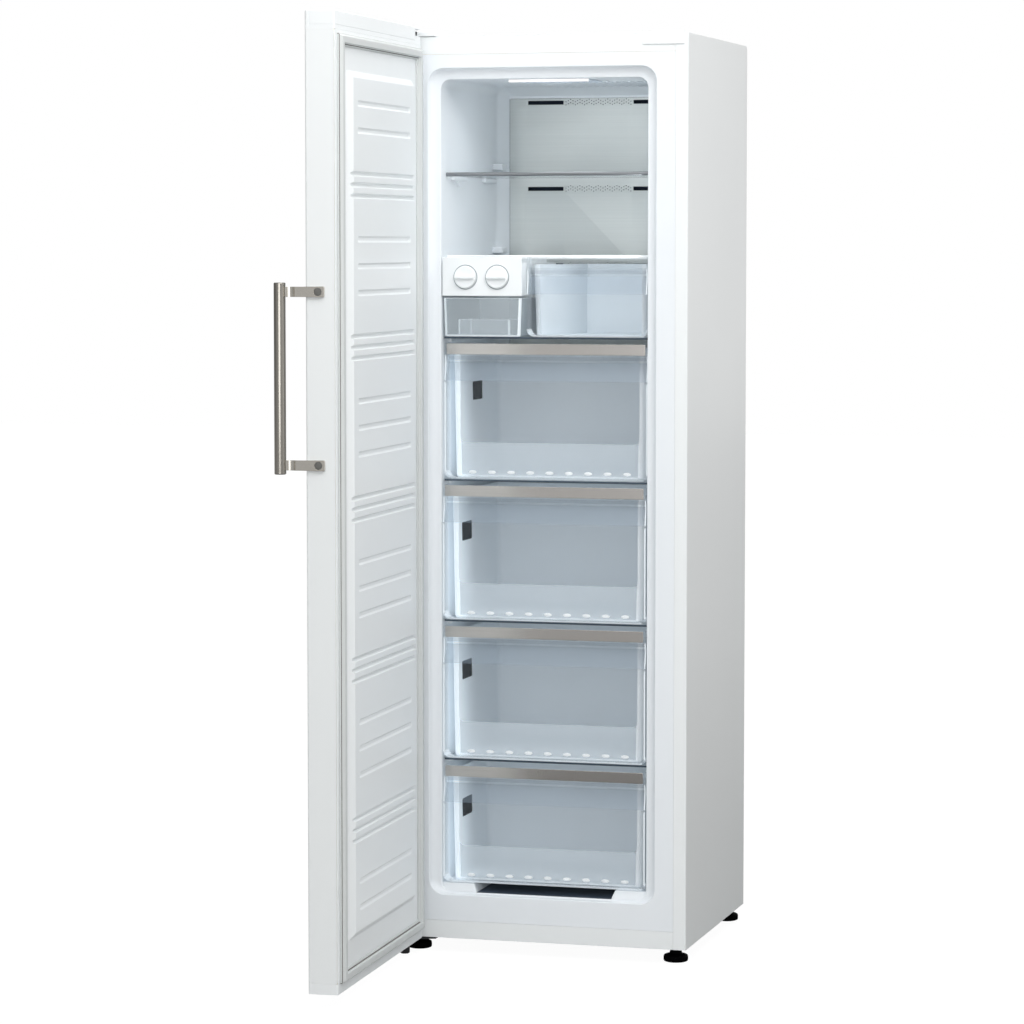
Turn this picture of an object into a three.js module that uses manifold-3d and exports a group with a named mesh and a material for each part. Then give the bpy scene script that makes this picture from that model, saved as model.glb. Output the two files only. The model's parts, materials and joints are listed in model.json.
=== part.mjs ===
// Upright no-frost freezer with its door standing open, in millimetres, +Z up.
// The cabinet is modelled with X to the right, Y to the back and Z up from the floor:
// X = 0 is its left side and Y = 0 its front plane. The door is modelled closed and
// then turned on its hinge line. Last of all the whole freezer is moved so that the
// origin lies under the middle of its bounding box.

import * as THREE from 'three';
import { mergeVertices } from 'three/addons/utils/BufferGeometryUtils.js';
import Module from 'manifold-3d';

const wasm = await Module();
wasm.setup();

// ---------------------------------------------------------------- driving dimensions

// Fits between separate pieces
const seatGap = 0.3;
const runningGap = 0.4;
const overcut = 5;

// Outer cabinet
const cabinetWidth = 595;
const cabinetDepth = 539;
const shellBottom = 30.3;
const roofThickness = 85.1;
const sheetThickness = 1;
const shellRearRadius = 12;
const shellFrontRadius = 3;
const flangeWidth = 25.4;
const fasciaHeight = 36.3;
const plinthTop = 66;
const frontPlateThickness = 2;
const rearPlateThickness = 1.2;
const beadInset = 120;
const beadWidth = 12;
const beadRise = 1;
const beadBite = 0.6;
const beadFoot = 60;
const beadHead = 120;

// Inner liner and the cabinet opening
const linerThickness = 2;
const stepMargin = 64.6;
const stepBelowFloor = 3.1;
const stepAboveCeiling = 21;
const stepRadius = 30;
const stepDepth = 17.6;
const cavityMargin = 85.4;
const cavityFloor = 122;
const cavityRadius = 20;
const ductMargin = 105;
const ductAboveHump = 20;
const ductDrop = 16.9;
const rearWallThickness = 47;
const recessDepth = 44;
const cornerDepth = 48;
const humpDepth = 221;
const humpHeight = 250;
const humpWall = 46;
const machineWall = 28;
const ledgeDepth = 8;
const ledgeHeight = 7;
const bossLength = 22;
const bossHeight = 14;
const bossAboveShelfOne = 13;
const bossAboveShelfTwo = 5;
const ledgeFront = 62;
const frontLedge = 85;
const frontLedgeLength = 90;
const rearLedgeLength = 92;
const sillWidth = 65;
const sillSlope = 8;
const sillHeight = 18.1;

// Door
const doorSideGap = 2;
const doorBottom = 32;
const doorAboveShell = 16;
const doorThickness = 58;
const doorGap = 11.5;
const doorSkinRadius = 4;
const skinReturn = 2.5;
const openAngle = 88.1;
const pivotInset = 23;
const pivotDepth = 30;
const topCapHeight = 35;
const bottomCapHeight = 20;
const padMargin = 73;
const padBottomGap = 90;
const padTopGap = 107;
const padHeight = 10;
const padSlope = 12;
const ribGroupCount = 5;
const ribGroupPitch = 302;
const ribPitch = 20.5;
const ribHeight = 8;
const ribDepth = 5;
const fluteEnd = 44;
const flutePitch = 50;
const fluteHeight = 12;
const fluteDepth = 2.5;
const padWall = 3.5;
const gasketMargin = 14;
const gasketWidth = 23;
const gasketTopGap = 42;
const gasketBottomGap = 18.5;
const gasketAirGap = 1;
const gasketEdge = 3;

// Handle
const handleRadius = 11;
const handleLength = 354;
const handleDrop = 675.5;
const handleStandOff = 48.8;
const bracketEndInset = 17;
const bracketHeight = 20;
const bracketThickness = 5;
const bracketReach = 37.4;
const plugInset = 25;
const plugRadius = 6.6;
const plugPocket = 1.5;

// Hinges
const pinRadius = 5;
const hingePlate = 4;
const hingeArmWidth = 26;
const hingePocketHeight = 13;
const hingePlateLength = 66;
const hingePlateWidth = 62;
const coverWall = 2;
const coverHeight = 11;
const coverMargin = 5;
const coverLip = 3;
const coverWidth = 76;
const coverTail = 12;
const seatRecess = 0.4;
const seatMargin = 1;
const blankCoverLeft = 504;
const blankCoverInset = 8;
const blankCoverDrop = 22;
const blankCoverDepth = 2.8;
const lowerPlate = 4;
const lowerPlateTop = 29;
const lowerPlateLength = 84;
const lowerPlateReach = 36;
const hingePlateFront = 14;
const screwRadius = 5;
const screwHead = 2.4;
const hingeNutRadius = 10;
const hingeNutBottom = 3;

// Feet and base
const footRadius = 25;
const footHeight = 15;
const footNeckRadius = 10;
const footNeckTop = 23;
const studRadius = 5;
const studTop = 52;
const footInset = 30;
const frontFootSetback = 44;
const rearFootInset = 30;
const basePlate = 2;
const baseRail = 58;
const baseFrontRail = 70;

// Refrigeration parts
const compressorRadius = 66;
const compressorHeight = 158;
const compressorFoot = 10;
const compressorShift = 60;
const compressorPlateHalf = 48;
const grommetRadius = 9;
const dripTrayWidth = 176;
const dripTrayDepth = 124;
const dripTrayHeight = 26;
const dripTrayWall = 2;
const dripTrayRise = 16;
const coverSlotRows = 5;
const coverSlotPitch = 34;
const coverSlotHeight = 9;
const coverSlotLength = 140;
const fanRadius = 50;
const fanAboveCoil = 130;
const fanHubRadius = 14;
const fanHubDepth = 15;
const motorRadius = 24;
const motorDepth = 14;
const fanBlades = 5;
const fanShaft = 3;
const coilAboveHump = 98;
const coilHeight = 330;
const finCount = 6;
const tubePitch = 110;
const tubeRadius = 5;
const coilMargin = 26;
const ductPlate = 4;
const ductSlotInset = 75.5;
const ductSlotLength = 77;
const ductSlotHeight = 8;

// Shelves, with the height of the space from each upper glass to the next one or the ceiling
const glassThickness = 4;
const glassSideGap = 1.5;
const glassRearGap = 6;
const spaceAboveShelfOne = 185.9;
const spaceAboveShelfTwo = 165.2;
const spaceAboveShelfThree = 160.2;
const shelfOneFront = 48;
const shelfTwoFront = 52;
const trimHeight = 8;
const trimDepth = 9;
const trimRise = 2.4;
const lowShelfFront = 30;

// Drawers, from the lowest up, with the headroom under the glass above each
const drawerOneHeight = 271.5;
const drawerTwoHeight = 271;
const drawerThreeHeight = 268;
const drawerFourHeight = 238;
const drawerOneHeadroom = 9.6;
const drawerTwoHeadroom = 8;
const drawerThreeHeadroom = 8.5;
const drawerFourHeadroom = 10;
const drawerOneSetback = 30;
const drawerSetback = 18;
const drawerStack = [
  { number: 4, height: drawerFourHeight, headroom: drawerFourHeadroom, setback: drawerSetback },
  { number: 3, height: drawerThreeHeight, headroom: drawerThreeHeadroom, setback: drawerSetback },
  { number: 2, height: drawerTwoHeight, headroom: drawerTwoHeadroom, setback: drawerSetback },
  { number: 1, height: drawerOneHeight, headroom: drawerOneHeadroom, setback: drawerOneSetback },
];
const binRearGap = 20.7;
const frontMargin = 2.6;
const stripHeight = 22;
const stripThickness = 2.6;
const stripInset = 4.5;
const frontThickness = 2.5;
const cheekDepth = 31;
const gripDepth = 21;
const bendDrop = 75;
const frontCornerRadius = 9;
const binMargin = 10.5;
const binWall = 2;
const binTaper = 5;
const binRadius = 14;
const binTopDrop = 16;
const binLowFront = 72;
const binHoleSetback = 62;
const binHoleWidth = 75;
const binHoleHeight = 44;
const binHoleDrop = 64;
const drawerLift = 0.5;

// Small drawer beside the ice maker
const smallFrontLeft = 262.5;
const smallFrontSetback = 18;
const smallFrontHeight = 158.5;
const smallBendDrop = 74;
const smallBinDepth = 286;
const smallBinMargin = 4;
const smallBinDrop = 12;
const smallBinLowFront = 4;
const smallBulgeWidth = 36.5;
const smallBulgeLength = 245;

// Ice maker
const iceRight = 252;
const iceFront = 18;
const iceHousingGap = 1.8;
const iceHousingHeight = 77;
const iceRoofDrop = 11;
const iceWall = 2.5;
const iceDepth = 262;
const hookInset = 14;
const hookWidth = 6;
const knobRadius = 22.5;
const knobThickness = 7;
const knobShaft = 4;
const gripHeight = 5;
const gripRise = 6;
const trayWidth = 58;
const trayHeight = 26;
const trayWall = 2;
const trayPitch = 65.9;
const dividerDrop = 8;
const cubesAlong = 6;
const iceBoxHeight = 77;
const iceBoxWall = 2.5;
const scoopLeft = 118;
const scoopRight = 226;
const scoopDepth = 86;
const scoopHeight = 31;

// Light cover in the ceiling
const lightLeft = 215;
const lightRight = 380;
const lightFront = 50;
const lightDepth = 115;
const lightDrop = 5;
const lightRadius = 6;

// ---------------------------------------------------------------- derived places

const centreX = cabinetWidth / 2;
const cavityLeft = cavityMargin;
const cavityRight = cabinetWidth - cavityMargin;

// Depths, from the back of the cabinet forwards
const rearPlateFront = cabinetDepth - rearPlateThickness;
const recessRear = cabinetDepth - rearWallThickness;
const ductFront = recessRear - recessDepth;
const cornerStart = ductFront - cornerDepth;
const humpFront = cabinetDepth - humpDepth;
const compartmentFront = humpFront + humpWall;

// Heights, from the floor of the cavity up: each drawer stands on the glass under it
const drawers = [];
let level = cavityFloor + sillHeight + runningGap;
for (const { number, height, headroom, setback } of drawerStack) {
  const top = level + height;
  const glassTop = top + headroom + glassThickness;
  drawers.push({ number, bottom: level, top, setback, glassTop });
  level = glassTop + drawerLift;
}
const lowGlassTops = drawers.slice(0, 3).map(({ glassTop }) => glassTop);
const shelfThreeTop = drawers[3].glassTop;
const shelfTwoTop = shelfThreeTop + spaceAboveShelfThree;
const shelfOneTop = shelfTwoTop + spaceAboveShelfTwo;
const cavityCeiling = shelfOneTop + spaceAboveShelfOne;
const stepBottom = cavityFloor - stepBelowFloor;
const stepTop = cavityCeiling + stepAboveCeiling;
const shellTop = cavityCeiling + roofThickness;
const fasciaBottom = shellTop - fasciaHeight;
const ductTop = cavityCeiling - ductDrop;
const humpTop = cavityFloor + humpHeight;
const ductBottom = humpTop + ductAboveHump;
const compartmentTop = humpTop - humpWall;
const rearPanelBottom = compartmentTop - 20;
const foamBottom = plinthTop + 2;
const baseTop = foamBottom - seatGap;
const evaporatorBottom = humpTop + coilAboveHump;
const evaporatorTop = evaporatorBottom + coilHeight;
const fanHeight = evaporatorTop + fanAboveCoil;

// Compressor
const compressorX = centreX + compressorShift;
const compressorY = (compartmentFront + cabinetDepth) / 2 - coverWall - 6;
const compressorBase = shellBottom + basePlate + seatGap;
const compressorTop = compressorBase + compressorFoot + compressorHeight;

// Door
const doorLeft = doorSideGap;
const doorRight = cabinetWidth - doorSideGap;
const doorTop = shellTop + doorAboveShell;
const doorInner = -doorGap;
const doorOuter = -doorGap - doorThickness;
const padBottom = doorBottom + padBottomGap;
const padTop = doorTop - padTopGap;
const pivotX = doorLeft + pivotInset;
const coverLeft = pivotX - hingeArmWidth / 2 - coverMargin;
const coverRear = hingePlateLength + coverTail;
const hingeSeat = shellTop - seatRecess + seatGap;
const pivotY = doorInner - pivotDepth;
const handleCentre = doorTop - handleDrop;

// Ice maker
const iceLeft = cavityLeft + glassSideGap + seatGap;
const iceHousingTop = shelfTwoTop - iceHousingGap;
const iceHousingBottom = iceHousingTop - iceHousingHeight;
const iceHousingRoof = iceHousingTop - iceRoofDrop;
const iceBoxBottom = shelfThreeTop + runningGap;
const trayAxisZ = (iceHousingBottom + iceHousingTop) / 2 - 1;
const trayCentres = [-1, 1].map((side) => (iceLeft + iceRight) / 2 - 1 + side * trayPitch / 2);

const footPlaces = [
  ['front_left', footInset, frontFootSetback],
  ['front_right', cabinetWidth - footInset, frontFootSetback],
  ['rear_left', footInset, cabinetDepth - rearFootInset],
  ['rear_right', cabinetWidth - footInset, cabinetDepth - rearFootInset],
];

// ---------------------------------------------------------------- finishes

const finish = (color, roughness, metalness, opacity = 1) => new THREE.MeshStandardMaterial({
  color,
  roughness,
  metalness,
  opacity,
  transparent: opacity < 1,
});
const whitePaint = finish(0xf2f4f5, 0.35, 0);
const whitePlastic = finish(0xeef1f3, 0.45, 0);
const linerPlastic = finish(0xe6edf2, 0.4, 0);
const clearPlastic = finish(0xdfe9ef, 0.1, 0, 0.3);
const frostedPlastic = finish(0xd5e1e9, 0.4, 0, 0.8);
const steelTrim = finish(0xa9a19a, 0.3, 0.9);
const brushedSteel = finish(0xb9b4ad, 0.35, 1);
const ductSteel = finish(0xb4bdbd, 0.4, 0.6);
const glassFinish = finish(0xc9dcd8, 0.05, 0, 0.35);
const gasketGrey = finish(0xb9bab8, 0.7, 0);
const blackPlastic = finish(0x18191b, 0.6, 0);
const zincSteel = finish(0x9aa0a3, 0.45, 0.9);
const blackPaint = finish(0x202224, 0.4, 0.2);
const foamFinish = finish(0xe8d9a8, 0.9, 0);
const finMetal = finish(0xc3c8cb, 0.35, 1);

// ---------------------------------------------------------------- shape helpers

// A rounded rectangle as a THREE.Shape, counter-clockwise.
function roundedRect(x0, y0, x1, y1, radius, segments = 4) {
  const points = [];
  const corners = [
    [x1 - radius, y0 + radius, -Math.PI / 2],
    [x1 - radius, y1 - radius, 0],
    [x0 + radius, y1 - radius, Math.PI / 2],
    [x0 + radius, y0 + radius, Math.PI],
  ];
  for (const [cx, cy, start] of corners) {
    for (let i = 0; i <= segments; i += 1) {
      const angle = start + (i / segments) * (Math.PI / 2);
      points.push(new THREE.Vector2(cx + radius * Math.cos(angle), cy + radius * Math.sin(angle)));
    }
  }
  return new THREE.Shape(points);
}

function polygon(points) {
  return new THREE.Shape(points.map(([x, y]) => new THREE.Vector2(x, y)));
}

// A strip of one thickness along a bent line: the line is its front side.
function ribbon(line, thickness) {
  const front = line.map(([x, y]) => new THREE.Vector2(x, y));
  const back = front.map((point, i) => {
    const before = front[Math.max(i - 1, 0)];
    const after = front[Math.min(i + 1, front.length - 1)];
    const inward = i === 0 ? after.clone().sub(point) : point.clone().sub(before);
    const outward = i === front.length - 1 ? point.clone().sub(before) : after.clone().sub(point);
    inward.normalize();
    outward.normalize();
    const along = inward.clone().add(outward).normalize();
    const reach = thickness / Math.max(along.dot(inward), 0.4);
    return new THREE.Vector2(point.x - along.y * reach, point.y + along.x * reach);
  });
  return new THREE.Shape([...front, ...back.reverse()]);
}

// A bevel of the given size on both ends of an extrusion, inside its outline.
function bevelOptions(depth, bevel) {
  if (bevel === 0) return { depth, bevelEnabled: false };
  return {
    depth: depth - 2 * bevel,
    bevelEnabled: true,
    bevelThickness: bevel,
    bevelSize: bevel,
    bevelOffset: -bevel,
    bevelSegments: 2,
  };
}

// Prisms: an outline in XY raised along Z, in XZ along Y, or in YZ along X.
function prismZ(shape, z0, z1, bevel = 0) {
  const geometry = new THREE.ExtrudeGeometry(shape, bevelOptions(z1 - z0, bevel));
  return geometry.translate(0, 0, z0 + bevel);
}

function prismY(shape, y0, y1, bevel = 0) {
  const geometry = new THREE.ExtrudeGeometry(shape, bevelOptions(y1 - y0, bevel));
  geometry.translate(0, 0, bevel);
  return geometry.rotateX(Math.PI / 2).translate(0, y1, 0);
}

function prismX(shape, x0, x1, bevel = 0) {
  const geometry = new THREE.ExtrudeGeometry(shape, bevelOptions(x1 - x0, bevel));
  geometry.translate(0, 0, bevel);
  const turn = new THREE.Matrix4().set(0, 0, 1, x0, 1, 0, 0, 0, 0, 1, 0, 0, 0, 0, 0, 1);
  return geometry.applyMatrix4(turn);
}

function box(x0, x1, y0, y1, z0, z1) {
  const geometry = new THREE.BoxGeometry(x1 - x0, y1 - y0, z1 - z0);
  return geometry.translate((x0 + x1) / 2, (y0 + y1) / 2, (z0 + z1) / 2);
}

function cylinderZ(x, y, z0, z1, radius, sides = 16) {
  const geometry = new THREE.CylinderGeometry(radius, radius, z1 - z0, sides);
  return geometry.rotateX(Math.PI / 2).translate(x, y, (z0 + z1) / 2);
}

function cylinderY(x, z, y0, y1, radius, sides = 16) {
  const geometry = new THREE.CylinderGeometry(radius, radius, y1 - y0, sides);
  return geometry.translate(x, (y0 + y1) / 2, z);
}

function cylinderX(y, z, x0, x1, radius, sides = 16) {
  const geometry = new THREE.CylinderGeometry(radius, radius, x1 - x0, sides);
  return geometry.rotateZ(Math.PI / 2).translate((x0 + x1) / 2, y, z);
}

// A body of revolution about a vertical axis, from (radius, height) pairs.
function turned(x, y, profile, sides = 28) {
  const points = profile.map(([radius, height]) => new THREE.Vector2(radius, height));
  const geometry = new THREE.LatheGeometry(points, sides);
  return geometry.rotateX(Math.PI / 2).translate(x, y, 0);
}

// A closed skin through rings that have equal numbers of points, with flat ends.
// The rings run counter-clockwise about the direction in which they follow each other.
function loft(rings) {
  const count = rings[0].length;
  const positions = rings.flat().flatMap((point) => [point.x, point.y, point.z]);
  const index = [];
  for (let r = 0; r < rings.length - 1; r += 1) {
    for (let i = 0; i < count; i += 1) {
      const a = r * count + i;
      const b = r * count + ((i + 1) % count);
      index.push(a, b, b + count, a, b + count, a + count);
    }
  }
  const last = (rings.length - 1) * count;
  for (let i = 1; i < count - 1; i += 1) {
    index.push(0, i + 1, i);
    index.push(last, last + i, last + i + 1);
  }
  const geometry = new THREE.BufferGeometry();
  geometry.setAttribute('position', new THREE.Float32BufferAttribute(positions, 3));
  geometry.setIndex(index);
  return geometry;
}

function ringAtZ(x0, x1, y0, y1, radius, z, segments = 4) {
  const outline = roundedRect(x0, y0, x1, y1, radius, segments).getPoints();
  return outline.map((point) => new THREE.Vector3(point.x, point.y, z));
}

// A ring in a plane of constant Y, counter-clockwise when seen from the back.
function ringAtY(x0, x1, z0, z1, radius, y, segments = 4) {
  const outline = roundedRect(x0, z0, x1, z1, radius, segments).getPoints();
  return outline.reverse().map((point) => new THREE.Vector3(point.x, y, point.y));
}

// ---------------------------------------------------------------- joins and cuts

function toSolid(geometry) {
  if (!geometry.isBufferGeometry) return geometry;
  const plain = geometry.clone();
  plain.deleteAttribute('normal');
  plain.deleteAttribute('uv');
  const welded = mergeVertices(plain, 1e-4);
  const triVerts = new Uint32Array(welded.index.array);
  const vertProperties = new Float32Array(welded.attributes.position.array);
  return new wasm.Manifold(new wasm.Mesh({ numProp: 3, vertProperties, triVerts }));
}

function join(first, ...others) {
  return others.reduce((sum, other) => sum.add(toSolid(other)), toSolid(first));
}

function cut(first, ...tools) {
  return tools.reduce((rest, tool) => rest.subtract(toSolid(tool)), toSolid(first));
}

function common(first, second) {
  return toSolid(first).intersect(toSolid(second));
}

function part(name, shape, material) {
  const { vertProperties, triVerts } = toSolid(shape).getMesh();
  const geometry = new THREE.BufferGeometry();
  geometry.setAttribute('position', new THREE.BufferAttribute(new Float32Array(vertProperties), 3));
  geometry.setIndex(new THREE.BufferAttribute(new Uint32Array(triVerts), 1));
  geometry.computeVertexNormals();
  const mesh = new THREE.Mesh(geometry, material);
  mesh.name = name;
  return mesh;
}

// ---------------------------------------------------------------- cabinet

// The sides and top are one folded sheet, with narrow flanges turned in at the front.
function cabinetShell() {
  const block = (inset, bottom, rear) => {
    const radius = Math.max(shellRearRadius - inset, 0.5);
    const side = new THREE.Shape();
    side.moveTo(inset, bottom);
    side.lineTo(rear, bottom);
    if (rear > cabinetDepth) side.lineTo(rear, shellTop - shellRearRadius);
    side.lineTo(cabinetDepth - inset, shellTop - shellRearRadius);
    side.absarc(cabinetDepth - shellRearRadius, shellTop - shellRearRadius, radius, 0, Math.PI / 2);
    side.lineTo(inset, shellTop - inset);
    const front = Math.max(shellFrontRadius - inset, 0.5);
    const plan = roundedRect(inset, inset, cabinetWidth - inset, rear + 2 * overcut, front, 3);
    const tall = prismZ(plan, bottom - overcut, shellTop + overcut);
    return common(prismX(side, inset, cabinetWidth - inset), tall);
  };
  const outer = block(0, shellBottom, cabinetDepth);
  const inner = block(sheetThickness, shellBottom - overcut, cabinetDepth + overcut);
  const opening = box(
    flangeWidth, cabinetWidth - flangeWidth, -overcut, overcut,
    shellBottom - overcut, shellTop - sheetThickness,
  );
  // Shallow pressed seats, so that what lies on them leaves the rest of the top flat.
  const seat = (x0, x1, y1) => box(
    x0 - seatMargin, x1 + seatMargin, -overcut, y1 + seatMargin,
    shellTop - seatRecess, shellTop + overcut,
  );
  return cut(
    outer, inner, opening,
    seat(coverLeft, coverLeft + coverWidth, coverRear),
    seat(blankCoverLeft, cabinetWidth - blankCoverInset, hingePlateLength),
  );
}

// The hollow of the cabinet, grown by `grow` on every side: the liner's inner face at 0,
// its outer face at the liner's thickness, and the foam's face a little further out.
function cavity(grow) {
  const left = cavityLeft - grow;
  const right = cavityRight + grow;
  const low = cavityFloor - grow;
  const high = cavityCeiling + grow;
  const radius = cavityRadius + grow;
  const ring = (margin, bottom, top, corner, y) => ringAtY(
    margin - grow, cabinetWidth - margin + grow, bottom - grow, top + grow, corner + grow, y,
  );
  const rings = [ring(stepMargin, stepBottom, stepTop, stepRadius, -overcut)];
  const steps = 4;
  for (let i = 0; i <= steps; i += 1) {
    const angle = (i / steps) * (Math.PI / 2);
    const across = 1 - Math.cos(angle);
    rings.push(ring(
      stepMargin + (cavityMargin - stepMargin) * across,
      stepBottom + (cavityFloor - stepBottom) * across,
      stepTop + (cavityCeiling - stepTop) * across,
      stepRadius + (cavityRadius - stepRadius) * across,
      stepDepth * Math.sin(angle) + (i > 0 ? grow : 0),
    ));
  }
  const step = loft(rings);
  const hall = prismY(roundedRect(left, low, right, high, radius), stepDepth / 2, ductFront + grow);
  const rearPlan = polygon([
    [left, -overcut],
    [right, -overcut],
    [right, cornerStart],
    [cabinetWidth - ductMargin + grow, ductFront + grow],
    [ductMargin - grow, ductFront + grow],
    [left, cornerStart],
  ]);
  const main = common(hall, prismZ(rearPlan, low - overcut, high + overcut));
  const slope = cavityCeiling - ductTop;
  const wedge = prismX(polygon([
    [ductFront - 2 * slope + grow, high + 1],
    [ductFront + grow + 1, high + 1],
    [ductFront + grow + 1, ductTop + grow],
    [ductFront + grow, ductTop + grow],
  ]), left - overcut, right + overcut);
  const recess = box(
    ductMargin - grow, cabinetWidth - ductMargin + grow, ductFront - overcut, recessRear + grow,
    ductBottom - grow, ductTop - overcut + grow,
  );
  const hump = box(
    left - overcut, right + overcut, humpFront + grow, ductFront + 2 * overcut,
    low - overcut, humpTop - grow,
  );
  return join(cut(join(step, main), wedge, hump), recess);
}

// Sloped ledge on one side wall, from the wall inwards, under a glass shelf.
function wallLedge(side, top, y0, y1) {
  const wall = side < 0 ? cavityLeft : cavityRight;
  const inward = -side;
  const outline = [
    [wall - inward * 1, top - 2 * ledgeHeight],
    [wall, top - 2 * ledgeHeight],
    [wall + inward * ledgeDepth, top - ledgeHeight],
    [wall + inward * ledgeDepth, top],
    [wall - inward * 1, top],
  ];
  return prismY(polygon(side < 0 ? outline : outline.reverse()), y0, y1);
}

function slimLedge(side, top, y0, y1) {
  const wall = side < 0 ? cavityLeft : cavityRight;
  const inner = wall - side * ledgeDepth;
  const outer = wall + side;
  return box(Math.min(inner, outer), Math.max(inner, outer), y0, y1, top - ledgeHeight, top);
}

// One-piece plastic liner: front face, rounded step, cavity, shelf ledges and floor sills.
function innerLiner() {
  const face = box(
    flangeWidth + seatGap, cabinetWidth - flangeWidth - seatGap, 0, frontPlateThickness,
    plinthTop + seatGap / 2, fasciaBottom - seatGap / 2,
  );
  const skin = cut(join(face, cut(cavity(linerThickness), frontTrim())), cavity(0));
  const extras = [];
  const ledgeRear = cornerStart - overcut;
  for (const side of [-1, 1]) {
    for (const top of [shelfTwoTop, shelfThreeTop, ...lowGlassTops]) {
      extras.push(slimLedge(side, top - glassThickness - seatGap, ledgeFront, ledgeRear));
    }
    const under = shelfOneTop - glassThickness - seatGap;
    extras.push(wallLedge(side, under, cornerStart - rearLedgeLength, cornerStart - overcut));
    extras.push(wallLedge(side, under, frontLedge, frontLedge + frontLedgeLength));
    extras.push(floorSill(side));
    extras.push(rearBoss(side, shelfOneTop + bossAboveShelfOne));
    extras.push(rearBoss(side, shelfTwoTop + bossAboveShelfTwo));
  }
  return join(skin, common(join(...extras), cavity(linerThickness / 2)));
}

// What lies in front of the liner's face is cut away from the grown cavity.
function frontTrim() {
  return box(0, cabinetWidth, -4 * overcut, frontPlateThickness / 2, 0, shellTop);
}

// Raised sill along one side of the floor, which the lowest drawer runs on.
function floorSill(side) {
  const wall = side < 0 ? cavityLeft : cavityRight;
  const inward = -side;
  const top = cavityFloor + sillHeight;
  const outline = [
    [wall - inward, cavityFloor - 1],
    [wall + inward * (sillWidth + sillSlope), cavityFloor - 1],
    [wall + inward * (sillWidth + sillSlope), cavityFloor],
    [wall + inward * sillWidth, top],
    [wall - inward, top],
  ];
  return prismY(polygon(side < 0 ? outline : outline.reverse()), stepDepth + 1, humpFront - overcut);
}

// Small block on the rear corner that keeps a glass shelf from tipping.
function rearBoss(side, bottom) {
  const wall = side < 0 ? cavityLeft : cavityRight;
  const inner = wall - side * bossLength;
  const outer = wall + side;
  return box(
    Math.min(inner, outer), Math.max(inner, outer),
    cornerStart - bossHeight, cornerStart + bossLength, bottom, bottom + bossHeight,
  );
}

// Polyurethane foam between the shell and the liner, stepped over the machine space.
function foamInsulation() {
  const inset = sheetThickness + seatGap;
  const rear = rearPlateFront - seatGap;
  const front = frontPlateThickness + seatGap;
  const body = box(inset, cabinetWidth - inset, front, rear, foamBottom, shellTop - inset);
  const machineSpace = box(
    machineWall, cabinetWidth - machineWall, compartmentFront, cabinetDepth + overcut,
    shellBottom - overcut, compartmentTop,
  );
  const rearEdge = box(
    0, cabinetWidth, rear - shellRearRadius, cabinetDepth, shellTop - shellRearRadius, shellTop,
  );
  return cut(body, cavity(linerThickness + seatGap), machineSpace, rearEdge);
}

function rearPanel() {
  const inset = sheetThickness + seatGap;
  const plate = box(
    inset, cabinetWidth - inset, rearPlateFront, cabinetDepth,
    rearPanelBottom, shellTop - shellRearRadius - seatGap,
  );
  const beads = [-1, 1].map((side) => box(
    centreX + side * beadInset - beadWidth / 2, centreX + side * beadInset + beadWidth / 2,
    cabinetDepth - beadBite, cabinetDepth + beadRise,
    compartmentTop + beadFoot, shellTop - beadHead,
  ));
  return join(plate, ...beads);
}

function topFascia() {
  const top = shellTop - sheetThickness - seatGap;
  return prismY(roundedRect(
    flangeWidth + seatGap, fasciaBottom + seatGap / 2, cabinetWidth - flangeWidth - seatGap, top, 0.5, 1,
  ), 0, frontPlateThickness);
}

function plinth() {
  return prismY(roundedRect(
    flangeWidth + seatGap, shellBottom, cabinetWidth - flangeWidth - seatGap,
    plinthTop - seatGap / 2, 0.5, 1,
  ), 0, frontPlateThickness);
}

// Pressed base: rails carry the foam and the feet, and the rear bay carries the compressor.
function baseFrame() {
  const inset = sheetThickness + seatGap;
  const front = frontPlateThickness + 1;
  const body = box(inset, cabinetWidth - inset, front, cabinetDepth - 1, shellBottom, baseTop);
  const floor = shellBottom + basePlate;
  const frontBay = box(
    baseRail, cabinetWidth - baseRail, baseFrontRail, compartmentFront - 20, floor, baseTop + overcut,
  );
  const rearBay = box(
    baseRail, cabinetWidth - baseRail, compartmentFront, cabinetDepth + overcut, floor, baseTop + overcut,
  );
  const holes = footPlaces.map(([, x, y]) => cylinderZ(
    x, y, shellBottom - overcut, studTop + 2, studRadius + seatGap,
  ));
  return cut(body, frontBay, rearBay, ...holes);
}

function foot(x, y) {
  const pad = [
    [0, 0],
    [footRadius - 3, 0],
    [footRadius, 3],
    [footRadius, footHeight - 4],
    [footRadius - 3, footHeight],
    [footNeckRadius, footHeight],
    [footNeckRadius, footNeckTop],
    [studRadius, footNeckTop],
    [studRadius, studTop],
    [0, studTop],
  ];
  return turned(x, y, pad, 16);
}

// Hermetic compressor: domed can on a foot plate that stands on four rubber grommets.
function compressor() {
  const bottom = compressorBase + compressorFoot;
  const top = compressorTop;
  const r = compressorRadius;
  const can = turned(compressorX, compressorY, [
    [0, bottom],
    [r * 0.7, bottom],
    [r * 0.93, bottom + 12],
    [r, bottom + 30],
    [r, top - 42],
    [r * 0.94, top - 22],
    [r * 0.72, top - 6],
    [r * 0.35, top],
    [0, top],
  ], 16);
  const reach = r + 2 * grommetRadius + 4;
  const plate = box(
    compressorX - reach, compressorX + reach,
    compressorY - compressorPlateHalf, compressorY + compressorPlateHalf, bottom - 1, bottom + 4,
  );
  const grommets = [[-1, -1], [1, -1], [1, 1], [-1, 1]].map(([i, j]) => cylinderZ(
    compressorX + i * (r + 10), compressorY + j * (compressorPlateHalf - 12),
    compressorBase, bottom + 10, grommetRadius, 10,
  ));
  const suction = cylinderZ(compressorX - r * 0.55, compressorY, top - 24, top + 14, 4, 8);
  return join(can, plate, suction, ...grommets);
}

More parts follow.
